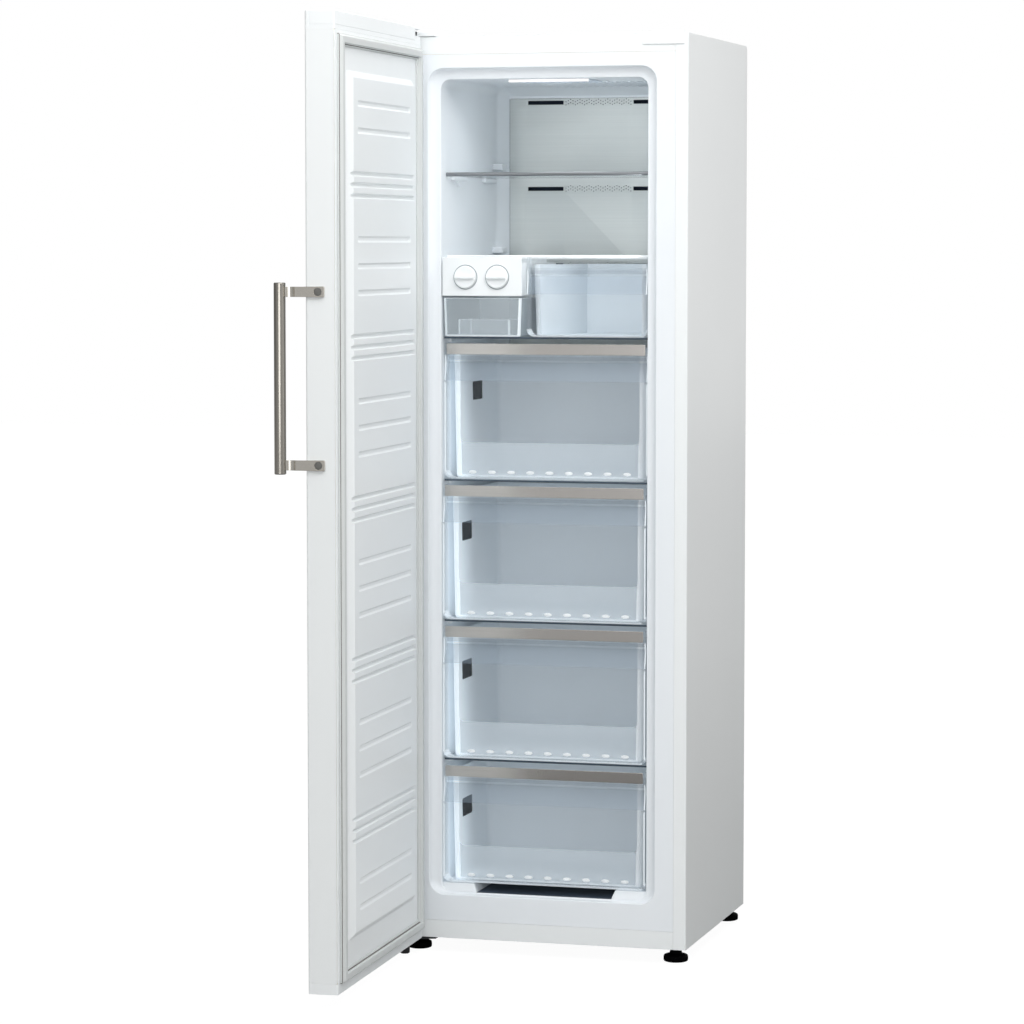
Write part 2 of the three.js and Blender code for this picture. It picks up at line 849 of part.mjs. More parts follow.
// Shallow tray on the compressor, where defrost water evaporates.
function dripTray() {
  const base = compressorTop + dripTrayRise;
  const rim = (inset, radius) => roundedRect(
    compressorX - dripTrayWidth / 2 + inset, compressorY - dripTrayDepth / 2 + inset,
    compressorX + dripTrayWidth / 2 - inset, compressorY + dripTrayDepth / 2 - inset, radius,
  );
  const outer = prismZ(rim(0, 12), base, base + dripTrayHeight);
  const inner = prismZ(rim(dripTrayWall, 10), base + dripTrayWall, base + dripTrayHeight + overcut);
  const collar = cylinderZ(compressorX, compressorY, compressorTop + seatGap, base + 1, 18, 20);
  return join(cut(outer, inner), collar);
}

// Slotted cover over the machine space.
function compartmentCover() {
  const inset = sheetThickness + seatGap + 4;
  const y0 = cabinetDepth - 0.7;
  const plate = box(
    inset, cabinetWidth - inset, y0, y0 + 2, shellBottom + 8, rearPanelBottom - seatGap,
  );
  const slots = [];
  for (let row = 0; row < coverSlotRows; row += 1) {
    for (const side of [-1, 1]) {
      const x = centreX + side * (coverSlotLength - 10);
      const z = shellBottom + 2 * coverSlotPitch + row * coverSlotPitch;
      slots.push(box(
        x - coverSlotLength / 2, x + coverSlotLength / 2, y0 - overcut, y0 + 2 * overcut,
        z, z + coverSlotHeight,
      ));
    }
  }
  return cut(plate, ...slots);
}

// ---------------------------------------------------------------- hinges and covers

// Flat arm screwed on the cabinet top, with the pin that the door hangs on.
function upperHinge() {
  const z0 = hingeSeat;
  const z1 = z0 + hingePlate;
  const half = hingeArmWidth / 2;
  const left = pivotX - half;
  const outline = new THREE.Shape();
  outline.moveTo(left, pivotY);
  outline.absarc(pivotX, pivotY, half, Math.PI, 2 * Math.PI);
  outline.lineTo(pivotX + half, 4);
  outline.lineTo(left + hingePlateWidth, hingePlateFront);
  outline.lineTo(left + hingePlateWidth, hingePlateLength);
  outline.lineTo(left, hingePlateLength);
  const pin = cylinderZ(pivotX, pivotY, doorTop - topCapHeight + 3, z1 - 1, pinRadius);
  const screws = [[14, 18], [48, 24], [30, 52]].map(([x, y]) => cylinderZ(
    left + x, y, z1 - 1, z1 + screwHead, screwRadius, 6,
  ));
  return join(prismZ(outline, z0, z1), pin, ...screws);
}

// Moulded cap over the hinge plate: open towards the door and underneath.
function hingeCoverLeft() {
  const left = coverLeft;
  const right = coverLeft + coverWidth;
  const bottom = hingeSeat;
  const top = bottom + coverHeight;
  const rear = coverRear;
  const outer = prismZ(roundedRect(left, -coverLip, right, rear, 5), bottom, top, 1.2);
  const inner = box(
    left + coverWall, right - coverWall, coverWall - coverLip, rear - coverWall,
    bottom - overcut, top - coverWall,
  );
  const mouth = box(
    left + coverWall, pivotX + hingeArmWidth / 2 + 4, -coverLip - overcut, coverWall,
    bottom - overcut, top - coverWall,
  );
  return cut(outer, inner, mouth);
}

// Blank cap on the right, where the hinge goes when the door is reversed.
function hingeCoverRight() {
  const right = cabinetWidth - blankCoverInset;
  const bottom = hingeSeat;
  const top = bottom + coverLip;
  const face = prismY(
    roundedRect(blankCoverLeft, shellTop - blankCoverDrop, right, top, 2, 2),
    -blankCoverDepth, -seatGap, 0.8,
  );
  const lid = prismZ(
    roundedRect(blankCoverLeft, 0.4 - blankCoverDepth, right, hingePlateLength, 2, 2), bottom, top, 0.8,
  );
  return join(face, lid);
}

// Bottom hinge: a plate under the base, held by the front left foot, with its pin and nut.
function lowerHinge() {
  const z1 = lowerPlateTop;
  const z0 = z1 - lowerPlate;
  const half = hingeArmWidth / 2;
  const outline = new THREE.Shape();
  outline.moveTo(pivotX - half, pivotY);
  outline.absarc(pivotX, pivotY, half, Math.PI, 2 * Math.PI);
  outline.lineTo(pivotX + half, -4);
  outline.lineTo(pivotX + half + lowerPlateReach, 10);
  outline.lineTo(pivotX + half + lowerPlateReach, lowerPlateLength);
  outline.lineTo(pivotX - half, lowerPlateLength);
  const plate = prismZ(outline, z0, z1);
  const spacer = box(
    pivotX - half + 1, pivotX + half + lowerPlateReach - 2, 12, lowerPlateLength - 2,
    z1 - 0.5, shellBottom - seatGap,
  );
  const pin = cylinderZ(pivotX, pivotY, z0 + 1, doorBottom + bottomCapHeight - 3, pinRadius);
  const washer = cylinderZ(pivotX, pivotY, z1 - 0.5, doorBottom - seatGap, pinRadius + 4);
  const nut = turned(pivotX, pivotY, [
    [0, hingeNutBottom],
    [hingeNutRadius - 2, hingeNutBottom],
    [hingeNutRadius, hingeNutBottom + 2],
    [hingeNutRadius, z0 - 6],
    [hingeNutRadius - 3, z0 + 1],
    [0, z0 + 1],
  ], 20);
  const [, footX, footY] = footPlaces[0];
  const hole = cylinderZ(footX, footY, z0 - overcut, shellBottom + overcut, studRadius + seatGap);
  return cut(join(plate, spacer, pin, washer, nut), hole);
}

// ---------------------------------------------------------------- inside the cabinet

// Steel-faced air duct panel with outlet slots on each level and the fan motor behind it.
function airDuctPanel() {
  const left = ductMargin + runningGap;
  const right = cabinetWidth - ductMargin - runningGap;
  const top = ductTop - overcut - runningGap;
  const rear = ductFront + ductPlate;
  const plate = prismY(roundedRect(left, ductBottom + runningGap, right, top, 3, 2), ductFront, rear);
  const slots = [];
  const drawerLevels = drawers.slice(1).map(({ top: drawerTop }) => drawerTop - 30);
  const levels = [ductTop - 14, shelfOneTop - 25, shelfTwoTop - 20, ...drawerLevels];
  for (const z of levels) {
    for (const side of [-1, 1]) {
      const inner = centreX + side * ductSlotInset;
      const outer = inner + side * ductSlotLength;
      slots.push(box(
        Math.min(inner, outer), Math.max(inner, outer), ductFront - overcut, rear + overcut,
        z - ductSlotHeight / 2, z + ductSlotHeight / 2,
      ));
    }
  }
  const motor = cylinderY(centreX, fanHeight, rear - 0.5, rear + motorDepth, motorRadius, 24);
  const shaft = cylinderY(
    centreX, fanHeight, rear + motorDepth - 1, rear + motorDepth + fanHubDepth + 3, fanShaft, 20,
  );
  return join(cut(plate, ...slots), motor, shaft);
}

// Fan rotor: a hub bored for the shaft, with pitched blades.
function evaporatorFan() {
  const y0 = ductFront + ductPlate + motorDepth + 1;
  const y1 = y0 + fanHubDepth;
  const hub = cylinderY(centreX, fanHeight, y0, y1, fanHubRadius, 20);
  const blades = [];
  for (let i = 0; i < fanBlades; i += 1) {
    const blade = new THREE.BoxGeometry(fanRadius - 10, 2, 24);
    blade.rotateX(0.5);
    blade.translate((fanRadius + 10) / 2, 0, 0);
    blade.rotateY((i / fanBlades) * 2 * Math.PI);
    blade.translate(centreX, (y0 + y1) / 2, fanHeight);
    blades.push(blade);
  }
  const bore = cylinderY(centreX, fanHeight, y0 - overcut, y1 + overcut, fanShaft + 0.05, 20);
  return cut(join(hub, ...blades), bore);
}

// Finned coil that hangs behind the duct panel.
function evaporator() {
  const y0 = ductFront + ductPlate + seatGap;
  const y1 = recessRear - runningGap;
  const left = ductMargin + coilMargin;
  const right = cabinetWidth - ductMargin - coilMargin;
  const tubes = [];
  for (let z = evaporatorBottom + 20; z < evaporatorTop; z += tubePitch) {
    tubes.push(cylinderX((y0 + y1) / 2, z, left, right, tubeRadius, 6));
  }
  const fins = [];
  for (let i = 0; i < finCount; i += 1) {
    const x = left + coilMargin / 2 + (i / (finCount - 1)) * (right - left - coilMargin);
    fins.push(box(x - 0.6, x + 0.6, y0, y1, evaporatorBottom, evaporatorTop));
  }
  return join(...fins.slice(0, 1), ...tubes, ...fins.slice(1));
}

function lightCover() {
  const top = cavityCeiling - seatGap;
  const outline = roundedRect(
    lightLeft, lightFront, lightRight, lightFront + lightDepth, lightRadius, 3,
  );
  return prismZ(outline, top - lightDrop, top, 1.5);
}

function glassPlate(top, front) {
  const left = cavityLeft + glassSideGap;
  const right = cavityRight - glassSideGap;
  const rear = cornerStart - glassRearGap;
  return prismZ(roundedRect(left, front, right, rear, 4, 2), top - glassThickness, top);
}

// Rounded bar that grips the front edge of a glass shelf, with a slot for the glass.
function shelfTrim(top, front) {
  const left = cavityLeft + glassSideGap - 0.8;
  const right = cavityRight - glassSideGap + 0.8;
  const z1 = top + trimRise;
  const bar = prismX(roundedRect(front, z1 - trimHeight, front + trimDepth, z1, 2.2, 3), left, right, 1);
  const slot = box(
    left - overcut, right + overcut, front + 3, front + trimDepth + overcut,
    top - glassThickness - seatGap, top + seatGap,
  );
  return cut(bar, slot);
}

// ---------------------------------------------------------------- drawers

// Side profile of a clear drawer front: foot on the bin, flat face, bend and finger recess.
function frontProfile(y, bottom, top, drop) {
  return [
    [y + cheekDepth, bottom],
    [y + 6, bottom],
    [y + 1.5, bottom + 5],
    [y, bottom + 12],
    [y, top - drop],
    [y + gripDepth - 3, top - stripHeight - 20],
    [y + gripDepth, top - stripHeight - 12],
    [y + gripDepth - 4, top - stripHeight - 5],
    [y + stripThickness + seatGap, top - stripHeight - 1],
    [y + stripThickness + seatGap, top],
  ];
}

// Clear moulded front: the bent face between two side cheeks, with rounded lower corners.
function drawerFront(left, right, y, bottom, top, drop) {
  const line = frontProfile(y, bottom, top, drop);
  const face = prismX(ribbon(line.slice().reverse(), frontThickness), left, right);
  const cheek = polygon([
    ...line.slice(1, 5),
    [y + stripThickness + seatGap, top - stripHeight - 1],
    [y + stripThickness + seatGap, top],
    [y + cheekDepth, top],
    [y + cheekDepth, bottom + 8],
    [y + cheekDepth - 8, bottom],
  ].reverse());
  const sides = [
    prismX(cheek, left, left + frontThickness),
    prismX(cheek, right - frontThickness, right),
  ];
  const corners = roundedRect(left, bottom, right, top + frontCornerRadius, frontCornerRadius, 4);
  return common(join(face, ...sides), prismY(corners, y - overcut, y + 2 * cheekDepth));
}

// Decor strip along the top edge, with softly rounded edges.
function decorStrip(left, right, y, top) {
  const outline = roundedRect(left + stripInset, top - stripHeight, right - stripInset, top, 2, 2);
  return prismY(outline, y, y + stripThickness, 0.7);
}

// Open tub with a slight draft, a low front wall and a small rim.
function drawerBin(left, right, y0, y1, bottom, top, lowFront) {
  const ring = (inset, taper, z) => ringAtZ(
    left + inset + taper, right - inset - taper, y0 + inset, y1 - inset - taper,
    Math.max(binRadius - inset, 1), z,
  );
  const outer = loft([ring(0, binTaper, bottom), ring(0, 0, top)]);
  const inner = loft([ring(binWall, binTaper, bottom + binWall), ring(binWall, 0, top + 0.5)]);
  const mouth = box(
    left + binRadius, right - binRadius, y0 - overcut, y0 + binWall + 1, bottom + lowFront, top + overcut,
  );
  return cut(outer, inner, mouth);
}

// Openings high in both side walls of a big drawer.
function binHoles(left, right, y, top) {
  const z1 = top - binHoleDrop;
  const y0 = y + binHoleSetback;
  return box(left - overcut, right + overcut, y0, y0 + binHoleWidth, z1 - binHoleHeight, z1);
}

function bigDrawer({ number, bottom, top, setback }) {
  const left = cavityLeft + frontMargin;
  const right = cavityRight - frontMargin;
  const binLeft = cavityLeft + binMargin;
  const binRight = cavityRight - binMargin;
  const binFront = setback + cheekDepth + seatGap;
  const binRear = (bottom < humpTop ? humpFront : cornerStart) - binRearGap;
  const binTop = top - binTopDrop;
  const bin = cut(
    drawerBin(binLeft, binRight, binFront, binRear, bottom, binTop, binLowFront),
    binHoles(binLeft, binRight, setback, binTop),
  );
  const name = `drawer_${number}`;
  return [
    part(`${name}_bin`, bin, frostedPlastic),
    part(`${name}_front`, drawerFront(left, right, setback, bottom, top, bendDrop), clearPlastic),
    part(`${name}_strip`, decorStrip(left, right, setback, top), steelTrim),
  ];
}

// Small bin whose left wall curves in towards the back, to leave room for the ice chute.
function smallDrawer() {
  const y = smallFrontSetback;
  const left = smallFrontLeft;
  const right = cavityRight - frontMargin / 2;
  const bottom = shelfThreeTop + runningGap;
  const front = drawerFront(left, right, y, bottom, bottom + smallFrontHeight, smallBendDrop);
  const y0 = y + cheekDepth + seatGap;
  const y1 = y0 + smallBinDepth;
  const binLeft = left + smallBinMargin;
  const binRight = right - smallBinMargin;
  const binTop = shelfTwoTop - glassThickness - smallBinDrop;
  const tub = drawerBin(binLeft, binRight, y0, y1, bottom, binTop, smallBinLowFront);
  const bulge = (grow, z0, z1) => {
    const outline = new THREE.Shape();
    const [width, length] = [smallBulgeWidth + grow, smallBulgeLength + grow];
    outline.absellipse(binLeft, y1, width, length, 0, 2 * Math.PI, false, 0);
    return prismZ(outline, z0, z1);
  };
  const wall = common(cut(bulge(binWall, bottom, binTop), bulge(0, bottom - 1, binTop + 1)), tubVolume(
    binLeft, binRight, y0, y1, bottom, binTop,
  ));
  const bin = cut(join(tub, wall), bulge(0, bottom - overcut, binTop + overcut));
  return [
    part('small_drawer_bin', bin, frostedPlastic),
    part('small_drawer_front', front, clearPlastic),
  ];
}

function tubVolume(left, right, y0, y1, bottom, top) {
  const ring = (taper, z) => ringAtZ(left + taper, right - taper, y0, y1 - taper, binRadius, z);
  return loft([ring(binTaper, bottom), ring(0, top)]);
}

// ---------------------------------------------------------------- ice maker

// White housing that hangs under the second shelf. It is open below, where the cubes fall
// out, and above, where the trays swing, with a hole for each knob shaft.
function iceMakerHousing() {
  const y1 = iceFront + iceDepth;
  const outline = roundedRect(iceLeft, iceHousingBottom, iceRight, iceHousingTop, 2.5, 2);
  const face = prismY(outline, iceFront, iceFront + iceWall + 1, 0.8);
  const body = box(
    iceLeft + 0.5, iceRight - 0.5, iceFront + 2, y1, iceHousingBottom + 1, iceHousingRoof,
  );
  const hollow = box(
    iceLeft + iceWall, iceRight - iceWall, iceFront + iceWall + 1, y1 - iceWall,
    iceHousingBottom - overcut, iceHousingRoof - iceWall,
  );
  const underside = shelfTwoTop - glassThickness - seatGap;
  const hooks = [iceLeft + hookInset, iceRight - hookInset - hookWidth].map((x) => box(
    x, x + hookWidth, shelfTwoFront + trimDepth + 4, y1 - 20, iceHousingRoof - 1, underside,
  ));
  const skylight = box(
    iceLeft + hookInset + hookWidth + 1, iceRight - hookInset - hookWidth - 1,
    iceFront + iceWall + 4, y1 - iceWall - 1, iceHousingRoof - overcut, iceHousingRoof + overcut,
  );
  const holes = trayCentres.map((x) => cylinderY(
    x, trayAxisZ, iceFront - overcut, iceFront + iceWall + overcut, knobShaft + runningGap,
  ));
  const rearHoles = trayCentres.map((x) => cylinderY(
    x, trayAxisZ, y1 - iceWall - overcut, y1 + overcut, knobShaft + runningGap,
  ));
  return cut(join(face, cut(body, hollow, skylight), ...hooks), ...holes, ...rearHoles);
}

// Round knob with a straight grip across it, and the shaft that goes to the tray.
function iceKnob(x) {
  const y0 = iceFront - knobThickness;
  const disc = cylinderY(x, trayAxisZ, y0 + 1.5, iceFront - seatGap, knobRadius, 28);
  const rim = cylinderY(x, trayAxisZ, y0, y0 + 2, knobRadius - 1.5, 28);
  const reach = knobRadius - 2.5;
  const ridge = roundedRect(
    x - reach, trayAxisZ - gripHeight / 2, x + reach, trayAxisZ + gripHeight / 2, 2, 2,
  );
  const grip = prismY(ridge, y0 - gripRise, y0 + 2, 1);
  const shaft = cylinderY(x, trayAxisZ, iceFront - 2, iceFront + iceWall + 6, knobShaft);
  return join(disc, rim, grip, shaft);
}

// Twist tray with two rows of cube cells, whose dividers stay below the rim so that the
// water spreads. A pivot at its rear end carries it.
function iceTray(x) {
  const y0 = iceFront + iceWall + 6 + seatGap;
  const y1 = iceFront + iceDepth - iceWall - 3;
  const z0 = trayAxisZ - trayHeight / 2;
  const z1 = trayAxisZ + trayHeight / 2;
  const block = box(x - trayWidth / 2, x + trayWidth / 2, y0, y1, z0, z1);
  const cells = [box(
    x - trayWidth / 2 + trayWall, x + trayWidth / 2 - trayWall, y0 + trayWall, y1 - trayWall,
    z1 - dividerDrop, z1 + overcut,
  )];
  const pitch = (y1 - y0 - trayWall) / cubesAlong;
  const cellWidth = (trayWidth - 3 * trayWall) / 2;
  for (let i = 0; i < cubesAlong; i += 1) {
    for (const side of [-1, 1]) {
      const inner = x + side * trayWall / 2;
      const outer = inner + side * cellWidth;
      const start = y0 + trayWall + i * pitch;
      cells.push(box(
        Math.min(inner, outer), Math.max(inner, outer), start, start + pitch - trayWall,
        z0 + trayWall, z1 + overcut,
      ));
    }
  }
  const pivot = cylinderY(x, trayAxisZ, y1 - 1, iceFront + iceDepth - 0.5, knobShaft);
  return join(cut(block, ...cells), pivot);
}

function iceBox() {
  const top = iceBoxBottom + iceBoxHeight;
  const ring = (inset, taper, z) => ringAtZ(
    iceLeft + 1 + inset + taper, iceRight - 1 - inset - taper,
    iceFront + 2 + inset, iceFront + iceDepth - 4 - inset, Math.max(6 - inset, 1), z,
  );
  const outer = loft([ring(0, 3, iceBoxBottom), ring(0, 0, top)]);
  const inner = loft([ring(iceBoxWall, 3, iceBoxBottom + iceBoxWall), ring(iceBoxWall, 0, top + 0.5)]);
  return cut(outer, inner);
}

// Low clear tray that stands in the front of the ice box.
function iceScoopTray() {
  const bottom = iceBoxBottom + iceBoxWall + seatGap;
  const y0 = iceFront + 2 + iceBoxWall + 1.5;
  const ring = (inset, z) => ringAtZ(
    scoopLeft + inset, scoopRight - inset, y0 + inset, y0 + scoopDepth - inset,
    Math.max(5 - inset, 1), z,
  );
  const outer = loft([ring(0, bottom), ring(0, bottom + scoopHeight)]);
  const inner = loft([ring(2, bottom + 2), ring(2, bottom + scoopHeight + 0.5)]);
  return cut(outer, inner);
}

// ---------------------------------------------------------------- door (modelled closed)

const skinBottom = doorBottom + bottomCapHeight + seatGap;
const skinTop = doorTop - topCapHeight - seatGap;
const handleX = doorRight + seatGap + bracketThickness / 2;
const handleY = doorOuter - handleStandOff;

function doorSkin() {
  const plan = roundedRect(doorLeft, doorOuter, doorRight, doorInner + 20, doorSkinRadius, 4);
  const outer = common(
    prismZ(plan, skinBottom, skinTop),
    box(doorLeft - 1, doorRight + 1, doorOuter - 1, doorInner - skinReturn, skinBottom, skinTop),
  );
  const innerPlan = roundedRect(
    doorLeft + sheetThickness, doorOuter + sheetThickness, doorRight - sheetThickness, doorInner + 40,
    doorSkinRadius - sheetThickness, 4,
  );
  return cut(outer, prismZ(innerPlan, skinBottom - overcut, skinTop + overcut));
}

// Raised pad of the door liner, drawn in by `inset` for the back of the sheet. It starts
// at `base`, at or behind the liner's flat rim.
function linerPad(inset, base) {
  const level = doorInner + padHeight - inset;
  const ring = (extra, y) => ringAtY(
    doorLeft + padMargin + inset + extra, doorRight - padMargin - inset - extra,
    padBottom + inset + extra, padTop - inset - extra, 8, y, 2,
  );
  const frustum = loft([ring(0, base), ring(padSlope, level)]);
  const middle = (padTop + padBottom) / 2 - 2;
  const left = doorLeft + padMargin - overcut;
  const right = doorRight - padMargin + overcut;
  const cuts = [];
  const half = (ribGroupCount - 1) / 2;
  for (let group = -half; group <= half; group += 1) {
    for (const rib of [-1, 0, 1]) {
      const z = middle + group * ribGroupPitch + rib * ribPitch;
      const reach = ribHeight / 2 + inset;
      cuts.push(box(left, right, level - ribDepth, level + overcut, z - reach, z + reach));
    }
  }
  if (inset === 0) {
    for (let bay = -half - 0.5; bay <= half + 0.5; bay += 1) {
      for (const flute of [-1, 0, 1]) {
        const z = middle + bay * ribGroupPitch + flute * flutePitch;
        if (z < padBottom + 40 || z > padTop - 40) continue;
        cuts.push(box(
          left + fluteEnd, right - fluteEnd, level - fluteDepth, level + overcut,
          z - fluteHeight / 2, z + fluteHeight / 2,
        ));
      }
    }
  }
  return cut(frustum, ...cuts);
}

function doorLiner() {
  const plate = prismY(roundedRect(
    doorLeft + sheetThickness + seatGap, doorBottom + bottomCapHeight + seatGap,
    doorRight - sheetThickness - seatGap, skinTop, 4, 2,
  ), doorInner - linerThickness, doorInner);
  const back = linerPad(padWall, doorInner - linerThickness - 1);
  return cut(join(plate, linerPad(0, doorInner - linerThickness / 2)), back);
}

function doorFoam() {
  const inset = sheetThickness + seatGap;
  const block = box(
    doorLeft + inset, doorRight - inset, doorOuter + inset, doorInner - linerThickness - seatGap,
    skinBottom, skinTop,
  );
  const corner = prismZ(roundedRect(
    doorLeft + inset, doorOuter + inset, doorRight - inset, doorInner + 40, doorSkinRadius - 1, 3,
  ), doorBottom, doorTop);
  const pad = linerPad(padWall + seatGap, doorInner - 2 * linerThickness);
  return join(common(block, corner), pad);
}

// Magnetic seal: one closed frame with rounded edges, seated on the liner's rim.
function doorGasket() {
  const x0 = doorLeft + gasketMargin;
  const x1 = doorRight - gasketMargin;
  const z0 = doorBottom + gasketBottomGap;
  const z1 = doorTop - gasketTopGap;
  const y1 = -gasketAirGap;
  const ring = roundedRect(x0, z0, x1, z1, 4, 2);
  const holeShape = roundedRect(
    x0 + gasketWidth, z0 + gasketWidth, x1 - gasketWidth, z1 - gasketWidth, 3, 2,
  );
  ring.holes.push(new THREE.Path(holeShape.getPoints().reverse()));
  return prismY(ring, doorInner + seatGap, y1, gasketEdge);
}

// End caps: the top one has a pocket for the hinge arm and a bored bush under it.
function doorTopCap() {
  const bottom = doorTop - topCapHeight;
  const plan = roundedRect(doorLeft, doorOuter, doorRight, doorInner, doorSkinRadius, 4);
  const block = prismZ(plan, bottom, doorTop, 1.5);
  const half = hingeArmWidth / 2 + 4;
  const pocketBottom = shellTop - 2;
  const pocket = box(
    doorLeft - overcut, pivotX + half, doorOuter + 4, doorInner + overcut,
    pocketBottom, pocketBottom + hingePocketHeight,
  );
  const bore = cylinderZ(pivotX, pivotY, bottom + 2, pocketBottom + 1, pinRadius + runningGap);
  return cut(block, pocket, bore);
}

function doorBottomCap() {
  const top = doorBottom + bottomCapHeight;
  const plan = roundedRect(doorLeft, doorOuter, doorRight, doorInner, doorSkinRadius, 4);
  const block = prismZ(plan, doorBottom, top, 1.5);
  const bore = cylinderZ(pivotX, pivotY, doorBottom - overcut, top - 2, pinRadius + runningGap);
  return cut(block, bore);
}

function handleBar() {
  const z0 = handleCentre - handleLength / 2;
  const z1 = handleCentre + handleLength / 2;
  return turned(handleX, handleY, [
    [0, z0],
    [handleRadius - 1, z0],
    [handleRadius, z0 + 1],
    [handleRadius, z1 - 1],
    [handleRadius - 1, z1],
    [0, z1],
  ], 32);
}

// Flat bracket from the bar to the door's edge, with a blind seat for its screw plug.
function handleBracket(z) {
  const x0 = doorRight + seatGap;
  const rear = doorOuter + bracketReach;
  const bar = handleY;
  const half = bracketHeight / 2;
  const outline = new THREE.Shape();
  outline.moveTo(bar, z - half + 2);
  outline.lineTo(doorOuter - 14, z - half + 2);
  outline.lineTo(doorOuter - 4, z - half);
  outline.lineTo(rear - 3, z - half);
  outline.lineTo(rear, z - half + 3);
  outline.lineTo(rear, z + half - 3);
  outline.lineTo(rear - 3, z + half);
  outline.lineTo(doorOuter - 4, z + half);
  outline.lineTo(doorOuter - 14, z + half - 2);
  outline.lineTo(bar, z + half - 2);
  const plate = prismX(outline, x0, x0 + bracketThickness, 0.6);
  const saddle = cylinderZ(handleX, handleY, z - 2 * half, z + 2 * half, handleRadius + seatGap, 32);
  const outerFace = x0 + bracketThickness;
  const pocket = cylinderX(
    doorOuter + plugInset, z, outerFace - plugPocket, outerFace + overcut, plugRadius, 24,
  );
  return cut(plate, saddle, pocket);
}

// ---------------------------------------------------------------- assembly

const cabinet = new THREE.Group();
cabinet.add(
  part('cabinet_shell', cabinetShell(), whitePaint),
  part('rear_panel', rearPanel(), zincSteel),
  part('foam_insulation', foamInsulation(), foamFinish),
  part('inner_liner', innerLiner(), linerPlastic),
  part('top_fascia', topFascia(), whitePaint),
  part('plinth', plinth(), whitePaint),
  part('base_frame', baseFrame(), zincSteel),
  part('compressor', compressor(), blackPaint),
  part('drip_tray', dripTray(), blackPlastic),
  part('compartment_cover', compartmentCover(), zincSteel),
  part('upper_hinge', upperHinge(), zincSteel),
  part('hinge_cover_left', hingeCoverLeft(), whitePlastic),
  part('hinge_cover_right', hingeCoverRight(), whitePlastic),
  part('lower_hinge', lowerHinge(), blackPaint),
  part('air_duct_panel', airDuctPanel(), ductSteel),
  part('evaporator', evaporator(), finMetal),
  part('evaporator_fan', evaporatorFan(), whitePlastic),
  part('light_cover', lightCover(), frostedPlastic),
);
for (const [name, x, y] of footPlaces) cabinet.add(part(`foot_${name}`, foot(x, y), blackPlastic));

const shelves = new THREE.Group();
shelves.add(
  part('shelf_1_glass', glassPlate(shelfOneTop, shelfOneFront + 3 + seatGap), glassFinish),
  part('shelf_1_trim', shelfTrim(shelfOneTop, shelfOneFront), steelTrim),
  part('shelf_2_glass', glassPlate(shelfTwoTop, shelfTwoFront + 3 + seatGap), glassFinish),
  part('shelf_2_trim', shelfTrim(shelfTwoTop, shelfTwoFront), whitePlastic),
  part('shelf_3_glass', glassPlate(shelfThreeTop, lowShelfFront), glassFinish),
);
for (const { number, glassTop } of drawers.slice(0, 3).reverse()) {
  shelves.add(part(`shelf_${number + 2}_glass`, glassPlate(glassTop, lowShelfFront), glassFinish));
}

const iceMaker = new THREE.Group();
iceMaker.add(
  part('ice_maker_housing', iceMakerHousing(), whitePlastic),
  part('ice_knob_left', iceKnob(trayCentres[0]), whitePlastic),
  part('ice_knob_right', iceKnob(trayCentres[1]), whitePlastic),
  part('ice_tray_left', iceTray(trayCentres[0]), frostedPlastic),
  part('ice_tray_right', iceTray(trayCentres[1]), frostedPlastic),
  part('ice_box', iceBox(), clearPlastic),
  part('ice_scoop_tray', iceScoopTray(), clearPlastic),
);

const drawerGroup = new THREE.Group();
drawerGroup.add(...smallDrawer());
for (const drawer of [...drawers].reverse()) drawerGroup.add(...bigDrawer(drawer));

const door = new THREE.Group();
door.add(
  part('door_skin', doorSkin(), whitePaint),
  part('door_foam', doorFoam(), foamFinish),
  part('door_liner', doorLiner(), linerPlastic),
  part('door_gasket', doorGasket(), gasketGrey),
  part('door_top_cap', doorTopCap(), whitePlastic),
  part('door_bottom_cap', doorBottomCap(), whitePlastic),
  part('handle_bar', handleBar(), brushedSteel),
  part('handle_bracket_upper', handleBracket(handleCentre + handleLength / 2 - bracketEndInset), brushedSteel),
  part('handle_bracket_lower', handleBracket(handleCentre - handleLength / 2 + bracketEndInset), brushedSteel),
);
door.position.set(-pivotX, -pivotY, 0);
const hingeLine = new THREE.Group();
hingeLine.position.set(pivotX, pivotY, 0);
hingeLine.rotation.z = -THREE.MathUtils.degToRad(openAngle);
hingeLine.add(door);

const freezer = new THREE.Group();
freezer.name = 'upright_freezer';
freezer.add(cabinet, shelves, iceMaker, drawerGroup, hingeLine);
const bounds = new THREE.Box3().setFromObject(freezer);
const middle = bounds.getCenter(new THREE.Vector3());
freezer.position.set(-middle.x, -middle.y, 0);

export default freezer;
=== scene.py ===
import json
import math

import bmesh
import bpy
from mathutils import Matrix, Vector


